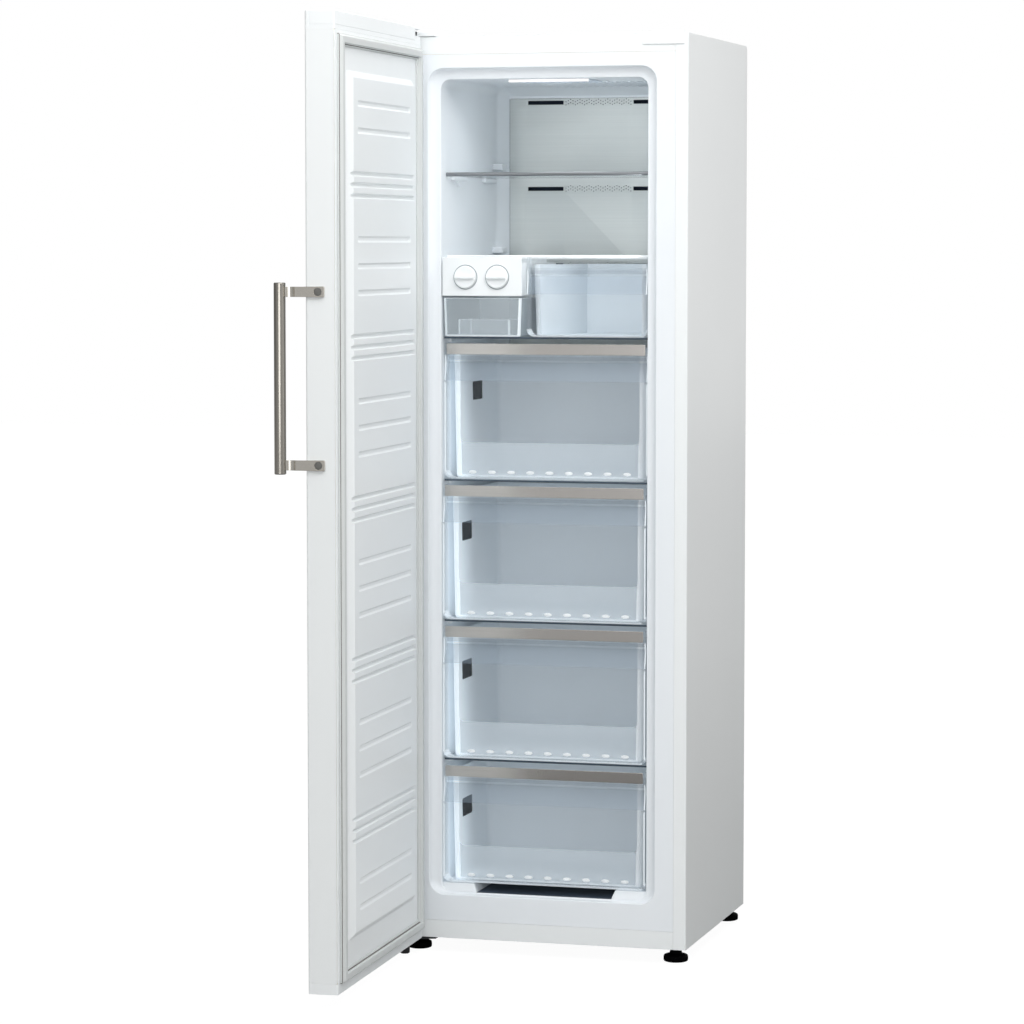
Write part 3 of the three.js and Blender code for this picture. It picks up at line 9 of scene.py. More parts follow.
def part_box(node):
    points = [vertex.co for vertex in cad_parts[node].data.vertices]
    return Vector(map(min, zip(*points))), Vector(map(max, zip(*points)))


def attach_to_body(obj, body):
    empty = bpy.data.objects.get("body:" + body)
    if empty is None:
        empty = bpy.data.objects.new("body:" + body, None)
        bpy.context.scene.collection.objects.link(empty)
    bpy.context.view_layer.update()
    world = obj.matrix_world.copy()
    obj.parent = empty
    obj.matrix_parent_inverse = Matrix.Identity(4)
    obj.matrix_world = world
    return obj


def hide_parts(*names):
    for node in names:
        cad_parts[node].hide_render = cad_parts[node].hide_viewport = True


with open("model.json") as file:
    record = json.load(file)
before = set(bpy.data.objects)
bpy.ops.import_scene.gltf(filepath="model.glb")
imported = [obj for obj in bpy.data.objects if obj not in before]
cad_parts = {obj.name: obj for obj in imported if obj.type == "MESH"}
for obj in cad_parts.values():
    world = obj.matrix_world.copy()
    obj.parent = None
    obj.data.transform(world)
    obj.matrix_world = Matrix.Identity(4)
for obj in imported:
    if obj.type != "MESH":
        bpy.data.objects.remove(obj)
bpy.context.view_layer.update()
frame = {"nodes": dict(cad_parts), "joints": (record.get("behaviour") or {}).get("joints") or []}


# ---- Camera, lamps and floor ----------------------------------------------------------------
# The camera stands 1.43 m above the floor, 7 m in front and 2 m to the right, and looks a
# little down and to the left. Soft lamps stand above and in front, two small ones light the
# cabinet from inside, and the floor is pale.
scene = bpy.context.scene
scene.view_settings.view_transform = "Standard"
shell_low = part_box("cabinet_shell")[0]
white = (1, 1, 1, 1)
cool_white = (0.95, 0.98, 1.0)


def at(x, y, z):
    """Millimetres right of the cabinet's left side, behind its front and above the floor."""
    return Vector((shell_low.x + x * 0.001, shell_low.y + y * 0.001, z * 0.001))


def srgb(red, green, blue):
    """A colour as it looks on a screen, 0 to 255, as the linear colour a shader takes."""
    parts = [c / 255 for c in (red, green, blue)]
    return (*[c / 12.92 if c <= 0.04045 else ((c + 0.055) / 1.055) ** 2.4 for c in parts], 1)


eye = bpy.data.cameras.new("camera")
eye.lens = 128.3
eye.sensor_width = 36
eye.clip_end = 60
camera = bpy.data.objects.new("camera", eye)
scene.collection.objects.link(camera)
camera.location = (1.94521, -6.93031, 1.42513)
camera.rotation_euler = (math.radians(90 - 4.182), 0, math.radians(15.876))
scene.camera = camera


def lamp(name, place, target, size, power, tint=(1, 1, 1)):
    """A soft rectangular lamp at one place that shines at another."""
    light = bpy.data.lights.new(name, "AREA")
    light.shape = "RECTANGLE"
    light.size, light.size_y = size
    light.energy = power
    light.color = tint
    holder = bpy.data.objects.new(name, light)
    scene.collection.objects.link(holder)
    holder.location = place
    holder.rotation_euler = (Vector(target) - Vector(place)).to_track_quat("-Z", "Y").to_euler()


lamp("high_front_lamp", (0.2, -2.0, 3.3), (0, 0.1, 1.5), (1.6, 1.2), 11.5)
lamp("low_front_lamp", (0.5, -4.4, 1.35), (0.0, 0.2, 0.9), (2.0, 1.2), 20)
lamp("right_high_lamp", (1.75, -2.1, 3.0), (-0.28, -0.38, 1.5), (1.1, 1.1), 31)
lamp("top_lamp", (0.5, -0.6, 3.4), (0.25, 0.0, 0), (1.8, 1.8), 22)
lamp("cabinet_light", at(297, 110, 1746), at(297, 230, 1400), (0.15, 0.09), 0.3, cool_white)
lamp("wall_light", at(478, 34, 1482), at(85, 330, 1500), (0.03, 0.11), 0.3, cool_white)


def add_node(tree, kind, how=None, **values):
    """A new shader node with its operation and the plain values of its inputs."""
    made = tree.nodes.new(f"ShaderNode{kind}")
    if how:
        made.operation = how
    for key, value in values.items():
        made.inputs[key.replace("_", " ")].default_value = value
    return made


def wire(tree, *pairs):
    """Links each pair's output to its input."""
    for source, target in pairs:
        tree.links.new(source, target)


def calculate(tree, how, *values):
    """The result of a sum on numbers and outputs of other nodes."""
    made = add_node(tree, "Math", how)
    for entry, value in zip(made.inputs, values):
        if isinstance(value, (int, float)):
            entry.default_value = value
        else:
            tree.links.new(value, entry)
    return made.outputs[0]


def ramp(tree, source, low, high, start, end, style="LINEAR"):
    """Turns the range from low to high into the range from start to end."""
    made = add_node(tree, "MapRange", From_Min=low, From_Max=high, To_Min=start, To_Max=end)
    made.interpolation_type = style
    tree.links.new(source, made.inputs["Value"])
    return made.outputs["Result"]


def blended(tree, share, first, second):
    """Two shaders mixed by a share."""
    made = add_node(tree, "MixShader")
    wire(tree, *zip((share, first, second), made.inputs))
    return made.outputs[0]


# The world gives a soft warm light, and looks white to the camera and in clear and shiny
# pieces, where it falls off to the left and to the front.
sky = bpy.data.worlds.new("studio")
scene.world = sky
sky.use_nodes = True
tree = sky.node_tree
tree.nodes.clear()
path = add_node(tree, "LightPath").outputs
soft = add_node(tree, "Background", Color=(0.99, 0.985, 0.97, 1), Strength=0.56)
plain = add_node(tree, "Background", Color=white)
axes = add_node(tree, "SeparateXYZ")
wire(tree, (add_node(tree, "TexCoord").outputs["Generated"], axes.inputs[0]))
to_left = ramp(tree, axes.outputs["X"], -1, 0.1, 0.2, 1)
to_front = ramp(tree, axes.outputs["Y"], -0.9, 0, 0.55, 1)
darker = calculate(tree, "MINIMUM", to_left, to_front)
seen = calculate(tree, "MAXIMUM", path["Is Camera Ray"], path["Is Glossy Ray"])
seen_or_through = calculate(tree, "MAXIMUM", seen, path["Is Transmission Ray"])
either = blended(tree, seen_or_through, soft.outputs[0], plain.outputs[0])
wire(
    tree, (calculate(tree, "MAXIMUM", darker, path["Is Camera Ray"]), plain.inputs["Strength"]),
    (either, add_node(tree, "OutputWorld").inputs["Surface"]),
)

# The floor looks nearly white to the camera, keeps a soft shadow, and is dim in mirrors near
# the object.
bpy.ops.object.select_all(action="DESELECT")
bpy.ops.mesh.primitive_plane_add(size=40, location=(0, 0, 0))
floor = bpy.context.object
floor.name = "floor"
floor_paint = bpy.data.materials.new("floor_paint")
floor_paint.use_nodes = True
tree = floor_paint.node_tree
tree.nodes.clear()
path = add_node(tree, "LightPath").outputs
matt = add_node(tree, "BsdfDiffuse", Color=(0.6, 0.6, 0.6, 1))
glow = add_node(tree, "Emission", Color=white, Strength=1.12)
mirrored = add_node(tree, "Emission")
reach = add_node(tree, "VectorMath", "LENGTH")
wire(tree, (add_node(tree, "TexCoord").outputs["Object"], reach.inputs[0]))
glow_share = calculate(tree, "MULTIPLY", path["Is Camera Ray"], 0.86)
lit = blended(tree, glow_share, matt.outputs[0], glow.outputs[0])
either = blended(tree, path["Is Glossy Ray"], lit, mirrored.outputs[0])
wire(
    tree, (ramp(tree, reach.outputs["Value"], 1.6, 7, 0.15, 0.5), mirrored.inputs["Strength"]),
    (either, add_node(tree, "OutputMaterial").inputs["Surface"]),
)
floor.data.materials.append(floor_paint)


# ---- Steel wrap of the cabinet --------------------------------------------------------------
# Both sides and the top are one sheet of steel, 1 mm thick, folded on a press and painted
# white before folding, with a fine grain in the paint. Narrow flanges turn in at the front.
def take(piece):
    """Makes a piece the only one selected, and the active one."""
    bpy.ops.object.select_all(action="DESELECT")
    piece.select_set(True)
    bpy.context.view_layer.objects.active = piece


def set_in_mesh():
    """Moves the active object's place, turn and size into its mesh."""
    bpy.ops.object.transform_apply(location=True, rotation=True, scale=True)


def slab(name, x0, x1, y0, y1, z0, z1):
    """A block between millimetre places, with its place in its mesh."""
    bpy.ops.object.select_all(action="DESELECT")
    bpy.ops.mesh.primitive_cube_add(size=1, location=at((x0 + x1) / 2, (y0 + y1) / 2, (z0 + z1) / 2))
    piece = bpy.context.object
    piece.name = piece.data.name = name
    piece.scale = [abs(far - near) * 0.001 for near, far in ((x0, x1), (y0, y1), (z0, z1))]
    set_in_mesh()
    return piece


def open_up(piece):
    """Goes into edit mode on one piece with nothing selected."""
    take(piece)
    bpy.ops.object.mode_set(mode="EDIT")
    bpy.ops.mesh.select_mode(type="VERT")
    bpy.ops.mesh.select_all(action="DESELECT")


def close_up():
    """Leaves edit mode."""
    bpy.ops.object.mode_set(mode="OBJECT")


def pick(piece, kind, test):
    """Selects corners, edges or faces whose middle, in millimetres, passes the test."""
    bpy.ops.mesh.select_mode(type=kind)
    bpy.ops.mesh.select_all(action="DESELECT")
    shape = bmesh.from_edit_mesh(piece.data)
    shape.normal_update()
    for item in {"VERT": shape.verts, "EDGE": shape.edges, "FACE": shape.faces}[kind]:
        corners = [item] if kind == "VERT" else list(item.verts)
        spots = [(c.co - at(0, 0, 0)) * 1000 for c in corners]
        if test(sum(spots, Vector()) / len(spots), spots, item):
            item.select_set(True)
    shape.select_flush_mode()
    bmesh.update_edit_mesh(piece.data)


def runs(axis, length):
    """A test for edges that run further than a length along an axis."""
    index = "XYZ".index(axis)
    return lambda m, spots, e: abs(spots[0][index] - spots[1][index]) > length


def round_off(piece, radius, steps, test, kind="EDGE"):
    """Rounds the edges or corners that pass the test."""
    open_up(piece)
    pick(piece, kind, test)
    affect = {"EDGE": "EDGES", "VERT": "VERTICES"}[kind]
    bpy.ops.mesh.bevel(offset=radius * 0.001, segments=steps, affect=affect)
    close_up()


def split(piece, place, normal, test):
    """Divides the faces that pass the test along a plane."""
    open_up(piece)
    pick(piece, "FACE", test)
    bpy.ops.mesh.bisect(plane_co=place, plane_no=normal)
    close_up()


def resize(piece, factors, centre, test):
    """Makes the faces that pass the test larger or smaller about a centre."""
    open_up(piece)
    pick(piece, "FACE", test)
    bpy.ops.transform.resize(value=factors, center_override=centre)
    close_up()


def inset(piece, width, rise, test, **options):
    """Insets the faces that pass the test, and raises or sinks them."""
    open_up(piece)
    pick(piece, "FACE", test)
    bpy.ops.mesh.inset(thickness=width * 0.001, depth=rise * 0.001, **options)
    close_up()


def take_off(piece, test):
    """Deletes the faces that pass the test."""
    open_up(piece)
    pick(piece, "FACE", test)
    bpy.ops.mesh.delete(type="FACE")
    close_up()


def apply_modifier(piece, kind, **values):
    """Adds a modifier with its values and applies it."""
    take(piece)
    modifier = piece.modifiers.new(kind.lower(), kind)
    for key, value in values.items():
        setattr(modifier, key, value)
    bpy.ops.object.modifier_apply(modifier=modifier.name)


def thicken(piece, wall):
    """Makes a skin into a sheet, on its inner side."""
    apply_modifier(piece, "SOLIDIFY", thickness=wall * 0.001, offset=-1)


def smooth(piece, angle=35):
    """Smooth shading across soft edges, with the flats kept flat."""
    take(piece)
    bpy.ops.object.shade_smooth_by_angle(angle=math.radians(angle))
    apply_modifier(piece, "WEIGHTED_NORMAL", keep_sharp=True, weight=80)


def ease(piece, width, steps=3, angle=30, shade=35):
    """Rounds every edge sharper than the angle, then shades the piece."""
    apply_modifier(
        piece, "BEVEL", width=width * 0.001, segments=steps, limit_method="ANGLE",
        angle_limit=math.radians(angle), use_clamp_overlap=True,
    )
    smooth(piece, shade)


def soft_slab(name, soft, steps, *box):
    """A block with all its edges rounded."""
    block = slab(name, *box)
    ease(block, soft, steps)
    return block


def shared_group(name, inputs):
    """A node group with these inputs, which gives a colour, a roughness and a normal."""
    group = bpy.data.node_groups.new(name, "ShaderNodeTree")
    for socket, start in inputs.items():
        kind = "Float" if isinstance(start, float) else {3: "Vector", 4: "Color"}[len(start)]
        entry = group.interface.new_socket(socket, in_out="INPUT", socket_type=f"NodeSocket{kind}")
        entry.default_value = start
    for socket, kind in (("Colour", "Color"), ("Roughness", "Float"), ("Normal", "Vector")):
        group.interface.new_socket(socket, in_out="OUTPUT", socket_type=f"NodeSocket{kind}")
    return group, group.nodes.new("NodeGroupInput").outputs


def vary(group, given, pattern, relief, second, depth, distance):
    """One pattern mixes the colours and shifts the roughness, and the relief makes a bump."""
    mix = add_node(group, "Mix")
    mix.data_type = "RGBA"
    shift = calculate(group, "SUBTRACT", pattern, 0.5)
    rough = calculate(group, "MULTIPLY_ADD", shift, given["Roughness Spread"], given["Roughness"])
    bump = add_node(group, "Bump", Distance=distance)
    result = group.nodes.new("NodeGroupOutput").inputs
    wire(
        group, (pattern, mix.inputs["Factor"]), (given["Colour"], mix.inputs["A"]),
        (given[second], mix.inputs["B"]), (mix.outputs["Result"], result["Colour"]),
        (rough, result["Roughness"]), (relief, bump.inputs["Height"]),
        (given[depth], bump.inputs["Strength"]), (bump.outputs["Normal"], result["Normal"]),
    )


# Shader group: slow drift between two colours, patches of roughness and a fine grain.
wear, given = shared_group("surface_drift", {
    "Colour": (0.8, 0.8, 0.8, 1), "Second Colour": (0.7, 0.7, 0.7, 1), "Patch Size": 4.0, "Roughness": 0.4,
    "Roughness Spread": 0.1, "Grain Size": 400.0, "Grain Depth": 0.1,
})
place = add_node(wear, "TexCoord").outputs["Object"]
patches = add_node(wear, "TexNoise", Detail=4)
grains = add_node(wear, "TexNoise", Detail=2)
wire(
    wear, (place, patches.inputs["Vector"]), (given["Patch Size"], patches.inputs["Scale"]),
    (place, grains.inputs["Vector"]), (given["Grain Size"], grains.inputs["Scale"]),
)
vary(wear, given, patches.outputs["Fac"], grains.outputs["Fac"], "Second Colour", "Grain Depth", 0.0004)


def finish_of(name, group, values, **sockets):
    """A material: a Principled shader fed by one shared group, with plain values on the rest."""
    stuff = bpy.data.materials.new(name)
    stuff.use_nodes = True
    tree = stuff.node_tree
    shader = tree.nodes["Principled BSDF"].inputs
    effect = add_node(tree, "Group")
    effect.node_tree = group
    for key, value in values.items():
        effect.inputs[key].default_value = value
    for key, target in (("Colour", "Base Color"), ("Roughness", "Roughness"), ("Normal", "Normal")):
        tree.links.new(effect.outputs[key], shader[target])
    for key, value in sockets.items():
        shader[key.replace("_", " ")].default_value = value
    return stuff


def drift(name, colour, second, patch=4.0, rough=0.4, spread=0.1, grain=400.0, depth=0.1, **sockets):
    """Paint, plastic or rubber: two close colours that drift into each other."""
    return finish_of(name, wear, {
        "Colour": srgb(*colour), "Second Colour": srgb(*second), "Patch Size": patch, "Roughness": rough,
        "Roughness Spread": spread, "Grain Size": grain, "Grain Depth": depth,
    }, **sockets)


def settle(piece, stuff, body, slot, *nodes):
    """Gives a finished piece its material and its body, and hides the nodes it stands for; the slot is not
    used.
    """
    piece.data.materials.clear()
    piece.data.materials.append(stuff)
    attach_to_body(piece, body)
    if nodes:
        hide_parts(*nodes)


def dress(name, stuff):
    """A carried-over node keeps its shape and gets its material."""
    for place in frame["nodes"][name].material_slots:
        place.material = stuff


def paint(piece, stuff, test):
    """Gives a second material to the faces whose middle and normal pass the test."""
    piece.data.materials.append(stuff)
    for face in piece.data.polygons:
        if test((face.center - at(0, 0, 0)) * 1000, face.normal):
            face.material_index = len(piece.data.materials) - 1


def span(name):
    """A node's box as x0, x1, y0, y1, z0, z1 in millimetres of the cabinet."""
    low, high = ((corner - at(0, 0, 0)) * 1000 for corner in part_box(name))
    return low.x, high.x, low.y, high.y, low.z, high.z


white_paint = drift(
    "white_paint", (243, 246, 247), (238, 242, 243), patch=2.2, rough=0.34, spread=0.08, grain=900.0,
    depth=0.12, IOR=1.5, Coat_Weight=0.25, Coat_Roughness=0.18,
)
_, shell_x1, _, shell_y1, shell_z0, shell_z1 = span("cabinet_shell")
flange = 25.4
opening_width = 100
wrap = slab("cabinet_wrap", *span("cabinet_shell"))
round_off(wrap, 12, 8, lambda m, spots, e: abs(m.z - shell_z1) < 1 and abs(m.y - shell_y1) < 1)
round_off(wrap, 3, 5, lambda m, spots, e: m.y < 1 and (m.x < 1 or m.x > shell_x1 - 1))
round_off(wrap, 1.2, 3, lambda m, spots, e: abs(m.z - shell_z1) < 0.1 and (
    m.x < 1 or m.x > shell_x1 - 1 or m.y < 1))
for side in (flange, shell_x1 - flange):
    split(wrap, at(side, 0, 0), (1, 0, 0), lambda m, spots, f: m.y < 0.01 and f.normal.y < -0.9)
take_off(wrap, lambda m, spots, f: (
    m.y < 0.01 and flange < m.x < shell_x1 - flange and f.normal.y < -0.9
    and max(abs(s.x - m.x) for s in spots) > opening_width
) or m.z < shell_z0 + 0.1 or m.y > shell_y1 - 0.1)
thicken(wrap, 1)
smooth(wrap, 30)
settle(wrap, white_paint, "cabinet", "white_paint", "cabinet_shell")


# ---- Strips above and below the opening -----------------------------------------------------
# Two strips of painted steel clip between the flanges: one above the liner's face and one
# below it. Each shows a hairline where it meets its neighbours.
for name in ("top_fascia", "plinth"):
    strip = soft_slab(f"{name}_strip", 0.5, 2, *span(name))
    settle(strip, white_paint, "cabinet", "white_paint", name)


# ---- Inner liner ----------------------------------------------------------------------------
# One sheet of white plastic, vacuum formed over a mould: its flat face, a rounded step round
# the opening, the cavity with its shelf ledges, floor sills, machine hump and rear recess.
def close_outward():
    """Turns all normals outward and leaves edit mode."""
    bpy.ops.mesh.select_all(action="SELECT")
    bpy.ops.mesh.normals_make_consistent(inside=False)
    close_up()


def lofted(name, along, sections, segments=6, caps=(True, True)):
    """A skin bridged through rounded rectangles (u0, u1, v0, v1, radius, place) along Y or Z."""
    piece = bpy.data.objects.new(name, bpy.data.meshes.new(name))
    scene.collection.objects.link(piece)
    open_up(piece)
    upright = along == "Y"
    corners = 4 * (segments + 1)
    for number, (u0, u1, v0, v1, radius, place) in enumerate(sections):
        u, v = (u0 + u1) / 2, (v0 + v1) / 2
        middle = at(u, place, v) if upright else at(u, v, place)
        width, height = (u1 - u0) * 0.001, (v1 - v0) * 0.001
        bpy.ops.mesh.select_mode(type="VERT")
        bpy.ops.mesh.select_all(action="DESELECT")
        turn = (math.pi / 2, 0, 0) if upright else (0, 0, 0)
        bpy.ops.mesh.primitive_plane_add(size=1, location=middle, rotation=turn)
        growth = (width, 1, height) if upright else (width, height, 1)
        bpy.ops.transform.resize(value=growth, center_override=middle)
        bpy.ops.mesh.bevel(offset=max(radius, 0.05) * 0.001, segments=segments, affect="VERTICES")
        last = number == len(sections) - 1
        if not ((number == 0 and caps[0]) or (last and caps[1])):
            bpy.ops.mesh.delete(type="ONLY_FACE")
        if number:
            bpy.ops.mesh.select_mode(type="EDGE")
            bpy.ops.mesh.select_all(action="DESELECT")
            shape = bmesh.from_edit_mesh(piece.data)
            shape.verts.index_update()
            first = (number - 1) * corners
            for edge in shape.edges:
                if min(corner.index for corner in edge.verts) >= first and len(edge.link_faces) < 2:
                    edge.select_set(True)
            bmesh.update_edit_mesh(piece.data)
            bpy.ops.mesh.bridge_edge_loops()
    close_outward()
    return piece


def attach(piece, *others):
    """Joins other pieces into one."""
    take(piece)
    for other in others:
        other.select_set(True)
    bpy.ops.object.join()
    return piece


liner_plastic = drift(
    "liner_plastic", (239, 243, 247), (235, 240, 244), patch=3.0, rough=0.42, grain=260.0, depth=0.05, IOR=1.45,
)
liner_gap = 0.3
face_z0, face_z1 = span("inner_liner")[4:]
cavity = {"left": 85.4, "right": 509.6, "floor": 122.0, "ceiling": shell_z1 - 85.1, "radius": 20}
step = {"margin": 64.6, "bottom": 118.9, "top": cavity["ceiling"] + 21, "radius": 30, "depth": 17.6}
duct_x0, duct_x1, duct_front, _, duct_z0, duct_z1 = span("air_duct_panel")
duct_gap = 0.4
recess_rear = span("inner_liner")[3] - 2
corner_start = 400
slope = {"start": 414, "run": 34, "drop": 16.9}
corner_run = slope["start"] - corner_start + slope["run"]
hump_front, hump_top = 318, 372
lip = 2.0


def opening(grow, top, bottom, radius, y):
    """One section of the opening, as far in from both sides."""
    return grow, shell_x1 - grow, bottom, top, radius, y


def quarter_turn(steps, first=0):
    """Sine, and one less cosine, in steps through a quarter turn."""
    turns = [number / steps * math.pi / 2 for number in range(first, steps + 1)]
    return [(math.sin(turn), 1 - math.cos(turn)) for turn in turns]


def cavity_at(share, y):
    """The cavity's section where it has narrowed to the duct panel by a share."""
    drop = max(0, (y - slope["start"]) / slope["run"]) * slope["drop"]
    return opening(
        cavity["left"] + (duct_x0 - duct_gap - cavity["left"]) * share,
        cavity["ceiling"] - drop, cavity["floor"], cavity["radius"] - 17 * share, y,
    )


sections = [(flange + liner_gap, shell_x1 - flange - liner_gap, face_z0, face_z1, 0.6, 0.0)]
for rise, run in quarter_turn(4):
    inward = lip * (1 - rise)
    sections.append(opening(
        step["margin"] - inward, step["top"] + inward, step["bottom"] - inward, step["radius"] + inward,
        lip * run,
    ))
for rise, share in quarter_turn(8, 1):
    sections.append(opening(
        step["margin"] + (cavity["left"] - lip - step["margin"]) * share,
        step["top"] + (cavity["ceiling"] + lip - step["top"]) * share,
        step["bottom"] + (cavity["floor"] - lip - step["bottom"]) * share,
        step["radius"] + (cavity["radius"] + lip - step["radius"]) * share,
        lip + (step["depth"] - lip) * rise,
    ))
for rise, run in quarter_turn(4, 1):
    inward = lip * (1 - rise)
    sections.append(opening(
        cavity["left"] - inward, cavity["ceiling"] + inward, cavity["floor"] - inward,
        cavity["radius"] + inward, step["depth"] + lip * run,
    ))
slope_share = (slope["start"] - corner_start) / corner_run
sections += [cavity_at(0, corner_start), cavity_at(slope_share, slope["start"]), cavity_at(1, duct_front)]
recess = (duct_x0 - duct_gap, duct_x1 + duct_gap, duct_z0 - duct_gap, duct_z1 + duct_gap, 2.5)
sections += [(*recess, duct_front + 0.02), (*recess, recess_rear)]
liner = lofted("liner_skin", "Y", sections, segments=8, caps=(False, True))
open_up(liner)
pick(liner, "FACE", lambda m, spots, f: f.normal.y > 0.9 and m.y < 1)
if any(face.select for face in bmesh.from_edit_mesh(liner.data).faces):
    bpy.ops.mesh.select_all(action="SELECT")
    bpy.ops.mesh.flip_normals()
close_up()
thicken(liner, 2)

glass_tops = {number: span(f"shelf_{number}_glass")[5] for number in range(1, 7)}
glass_seat = 4.3
ledge_reach, ledge_back = 8, 395
additions = []
for side, wall in ((-1, cavity["left"]), (1, cavity["right"])):

    def on_wall(name, soft, reach, *box):
        """Adds a rounded block that stands out from the wall."""
        additions.append(soft_slab(name, soft, 3, wall + side, wall - side * reach, *box))

    for number in range(2, 7):
        under = glass_tops[number] - glass_seat
        on_wall("ledge", 1.2, ledge_reach, 62, ledge_back, under - 7, under)
    under = glass_tops[1] - glass_seat
    on_wall("rear_ledge", 2.5, ledge_reach, 308, ledge_back, under - 10, under)
    on_wall("front_ledge", 2.5, ledge_reach, 85, 175, under - 9, under)
    nib = slab("front_nib", wall + side, wall - side * 6, 112, 148, under - 20, under - 6)
    resize(nib, (1, 0.15, 1), at(wall, 130, under - 20), lambda m, spots, f: f.normal.z < -0.9)
    ease(nib, 1.5, 3)
    for bottom in (glass_tops[1] + 13, glass_tops[2] + 5):
        on_wall("boss", 3, 22, corner_start - 14, corner_start + 22, bottom, bottom + 14)
    sill = slab("sill", wall + side, wall - side * 73, 18.6, 313, 121, 140.1)
    open_up(sill)
    pick(sill, "VERT", lambda m, spots, v: m.z > 130 and abs(m.x - wall) > 50)
    bpy.ops.transform.translate(value=(side * 0.008, 0, 0))
    pick(sill, "VERT", lambda m, spots, v: m.z > 130 and m.y < 30)
    bpy.ops.transform.translate(value=(0, 0.006, 0))
    close_up()
    ease(sill, 3, 4)
    additions += [nib, sill]
additions.append(soft_slab(
    "machine_hump", 6, 4, cavity["left"] - 1, cavity["right"] + 1, hump_front, duct_front + 1, 121, hump_top,
))
slat_pitch, slat_count = 15, 17
for number in range(slat_count):
    x = 232 + number * slat_pitch
    additions.append(soft_slab(
        "ceiling_slat", 0.8, 2, x, x + 5, 182, 404, cavity["ceiling"] - 2.2, cavity["ceiling"] + 0.5,
    ))
smooth(liner, 40)
attach(liner, *additions)
settle(liner, liner_plastic, "cabinet", "liner_plastic", "inner_liner")
# Painted shade: the liner's faces in the recess behind the duct panel are coloured dark blue.
duct_shade = drift("duct_shade", (58, 70, 88), (48, 60, 78), patch=20.0, rough=0.8, grain=300.0, depth=0.3)
floor_shade = drift("floor_shade", (62, 76, 92), (48, 60, 74), patch=16.0, rough=0.6, grain=300.0, depth=0.3)
# Painted shade: the cavity's floor, under the lowest drawer, is coloured dark blue.
paint(liner, floor_shade, lambda m, n: n.z > 0.9 and m.z < cavity["floor"] + 1 and m.y > 25)
paint(liner, duct_shade, lambda m, n: (
    m.y > duct_front + 3 and m.z > duct_z0 - 5 and duct_x0 - 1 < m.x < duct_x1 + 1))


# ---- Air duct panel and the parts behind it -------------------------------------------------
# A folded plate of brushed steel-look sheet, pressed into the recess. Outlet slots stand in pairs
# on six levels, with a zigzag of small holes between the pairs on the top three, and the fan motor
# is screwed to its back.
brush, given = shared_group("brushed_lines", {
    "Colour": (0.6, 0.6, 0.6, 1), "Line Colour": (0.5, 0.5, 0.5, 1), "Stretch": (1.0, 1.0, 1.0),
    "Roughness": 0.3, "Roughness Spread": 0.1, "Line Depth": 0.1,
})
stretched = add_node(brush, "VectorMath", "MULTIPLY")
lines = add_node(brush, "TexNoise", Scale=1, Detail=5, Roughness=0.7)
wire(
    brush, (add_node(brush, "TexCoord").outputs["Object"], stretched.inputs[0]),
    (given["Stretch"], stretched.inputs[1]), (stretched.outputs[0], lines.inputs["Vector"]),
)
vary(brush, given, lines.outputs["Fac"], lines.outputs["Fac"], "Line Colour", "Line Depth", 0.0002)


def brushed(name, colour, line, stretch, rough=0.3, spread=0.1, depth=0.1, **sockets):
    """Metal with fine lines, which run across the axes that are stretched most."""
    return finish_of(name, brush, {
        "Colour": srgb(*colour), "Line Colour": srgb(*line), "Stretch": stretch, "Roughness": rough,
        "Roughness Spread": spread, "Line Depth": depth,
    }, **sockets)


def trim(piece, tool, how="DIFFERENCE"):
    """Cuts a piece with a tool, or keeps what they share or both, and removes the tool."""
    apply_modifier(piece, "BOOLEAN", operation=how, solver="EXACT", object=tool)
    bpy.data.objects.remove(tool)


def chain(name, spots):
    """Opens a new piece that is one chain of edges from spot to spot."""
    bpy.ops.object.select_all(action="DESELECT")
    bpy.ops.mesh.primitive_plane_add(size=0.001, location=spots[0])
    piece = bpy.context.object
    piece.name = piece.data.name = name
    set_in_mesh()
    open_up(piece)
    bpy.ops.mesh.select_all(action="SELECT")
    bpy.ops.mesh.merge(type="CENTER")
    for before, after in zip(spots, spots[1:]):
        bpy.ops.mesh.extrude_region_move(TRANSFORM_OT_translate={"value": after - before})
    bpy.ops.mesh.select_all(action="SELECT")
    return piece


def turned(name, centre, along, profile, steps=48):
    """A body of revolution: (radius, place) points from axis to axis, spun about the centre."""
    radial = Vector((0, 0, 1)) if along == "X" else Vector((1, 0, 0))
    axis = Vector([int(letter == along) for letter in "XYZ"])
    piece = chain(name, [Vector(centre) + radial * r * 0.001 + axis * p * 0.001 for r, p in profile])
    bpy.ops.mesh.spin(steps=steps, angle=2 * math.pi, center=centre, axis=axis)
    bpy.ops.mesh.select_all(action="SELECT")
    bpy.ops.mesh.remove_doubles(threshold=0.00001)
    close_outward()
    return piece


def rod(name, centre, along, radius, low, high, steps):
    """A plain round bar, as a shaft or to bore a hole with."""
    return turned(name, centre, along, [(0, low), (radius, low), (radius, high), (0, high)], steps)


duct_steel = brushed(
    "duct_steel", (222, 226, 224), (208, 213, 212), (3.0, 60.0, 420.0), rough=0.45, spread=0.16, depth=0.22,
    Metallic=0.35,
)
plate = slab("duct_plate", duct_x0, duct_x1, duct_front, duct_front + 4, duct_z0, duct_z1)
middle_x = shell_x1 / 2
slot_near, slot_far, slot_half = 75.5, 152.5, 4
slot_levels = [cavity["ceiling"] - 30.9, glass_tops[1] - 25, glass_tops[2] - 20]
slot_levels += [span(f"drawer_{number}_strip")[5] - 30 for number in (1, 2, 3)]
slots = [
    slab(
        "slot", middle_x + side * slot_near, middle_x + side * slot_far, duct_front - 5, duct_front + 9,
        level - slot_half, level + slot_half,
    ) for level in slot_levels for side in (-1, 1)
]
trim(plate, attach(slots[0], *slots[1:]))
ease(plate, 0.8, 2)
hole_radius, hole_pitch, holes_in_row, row_drop = 0.0013, 5, 29, 6.5
holes = []
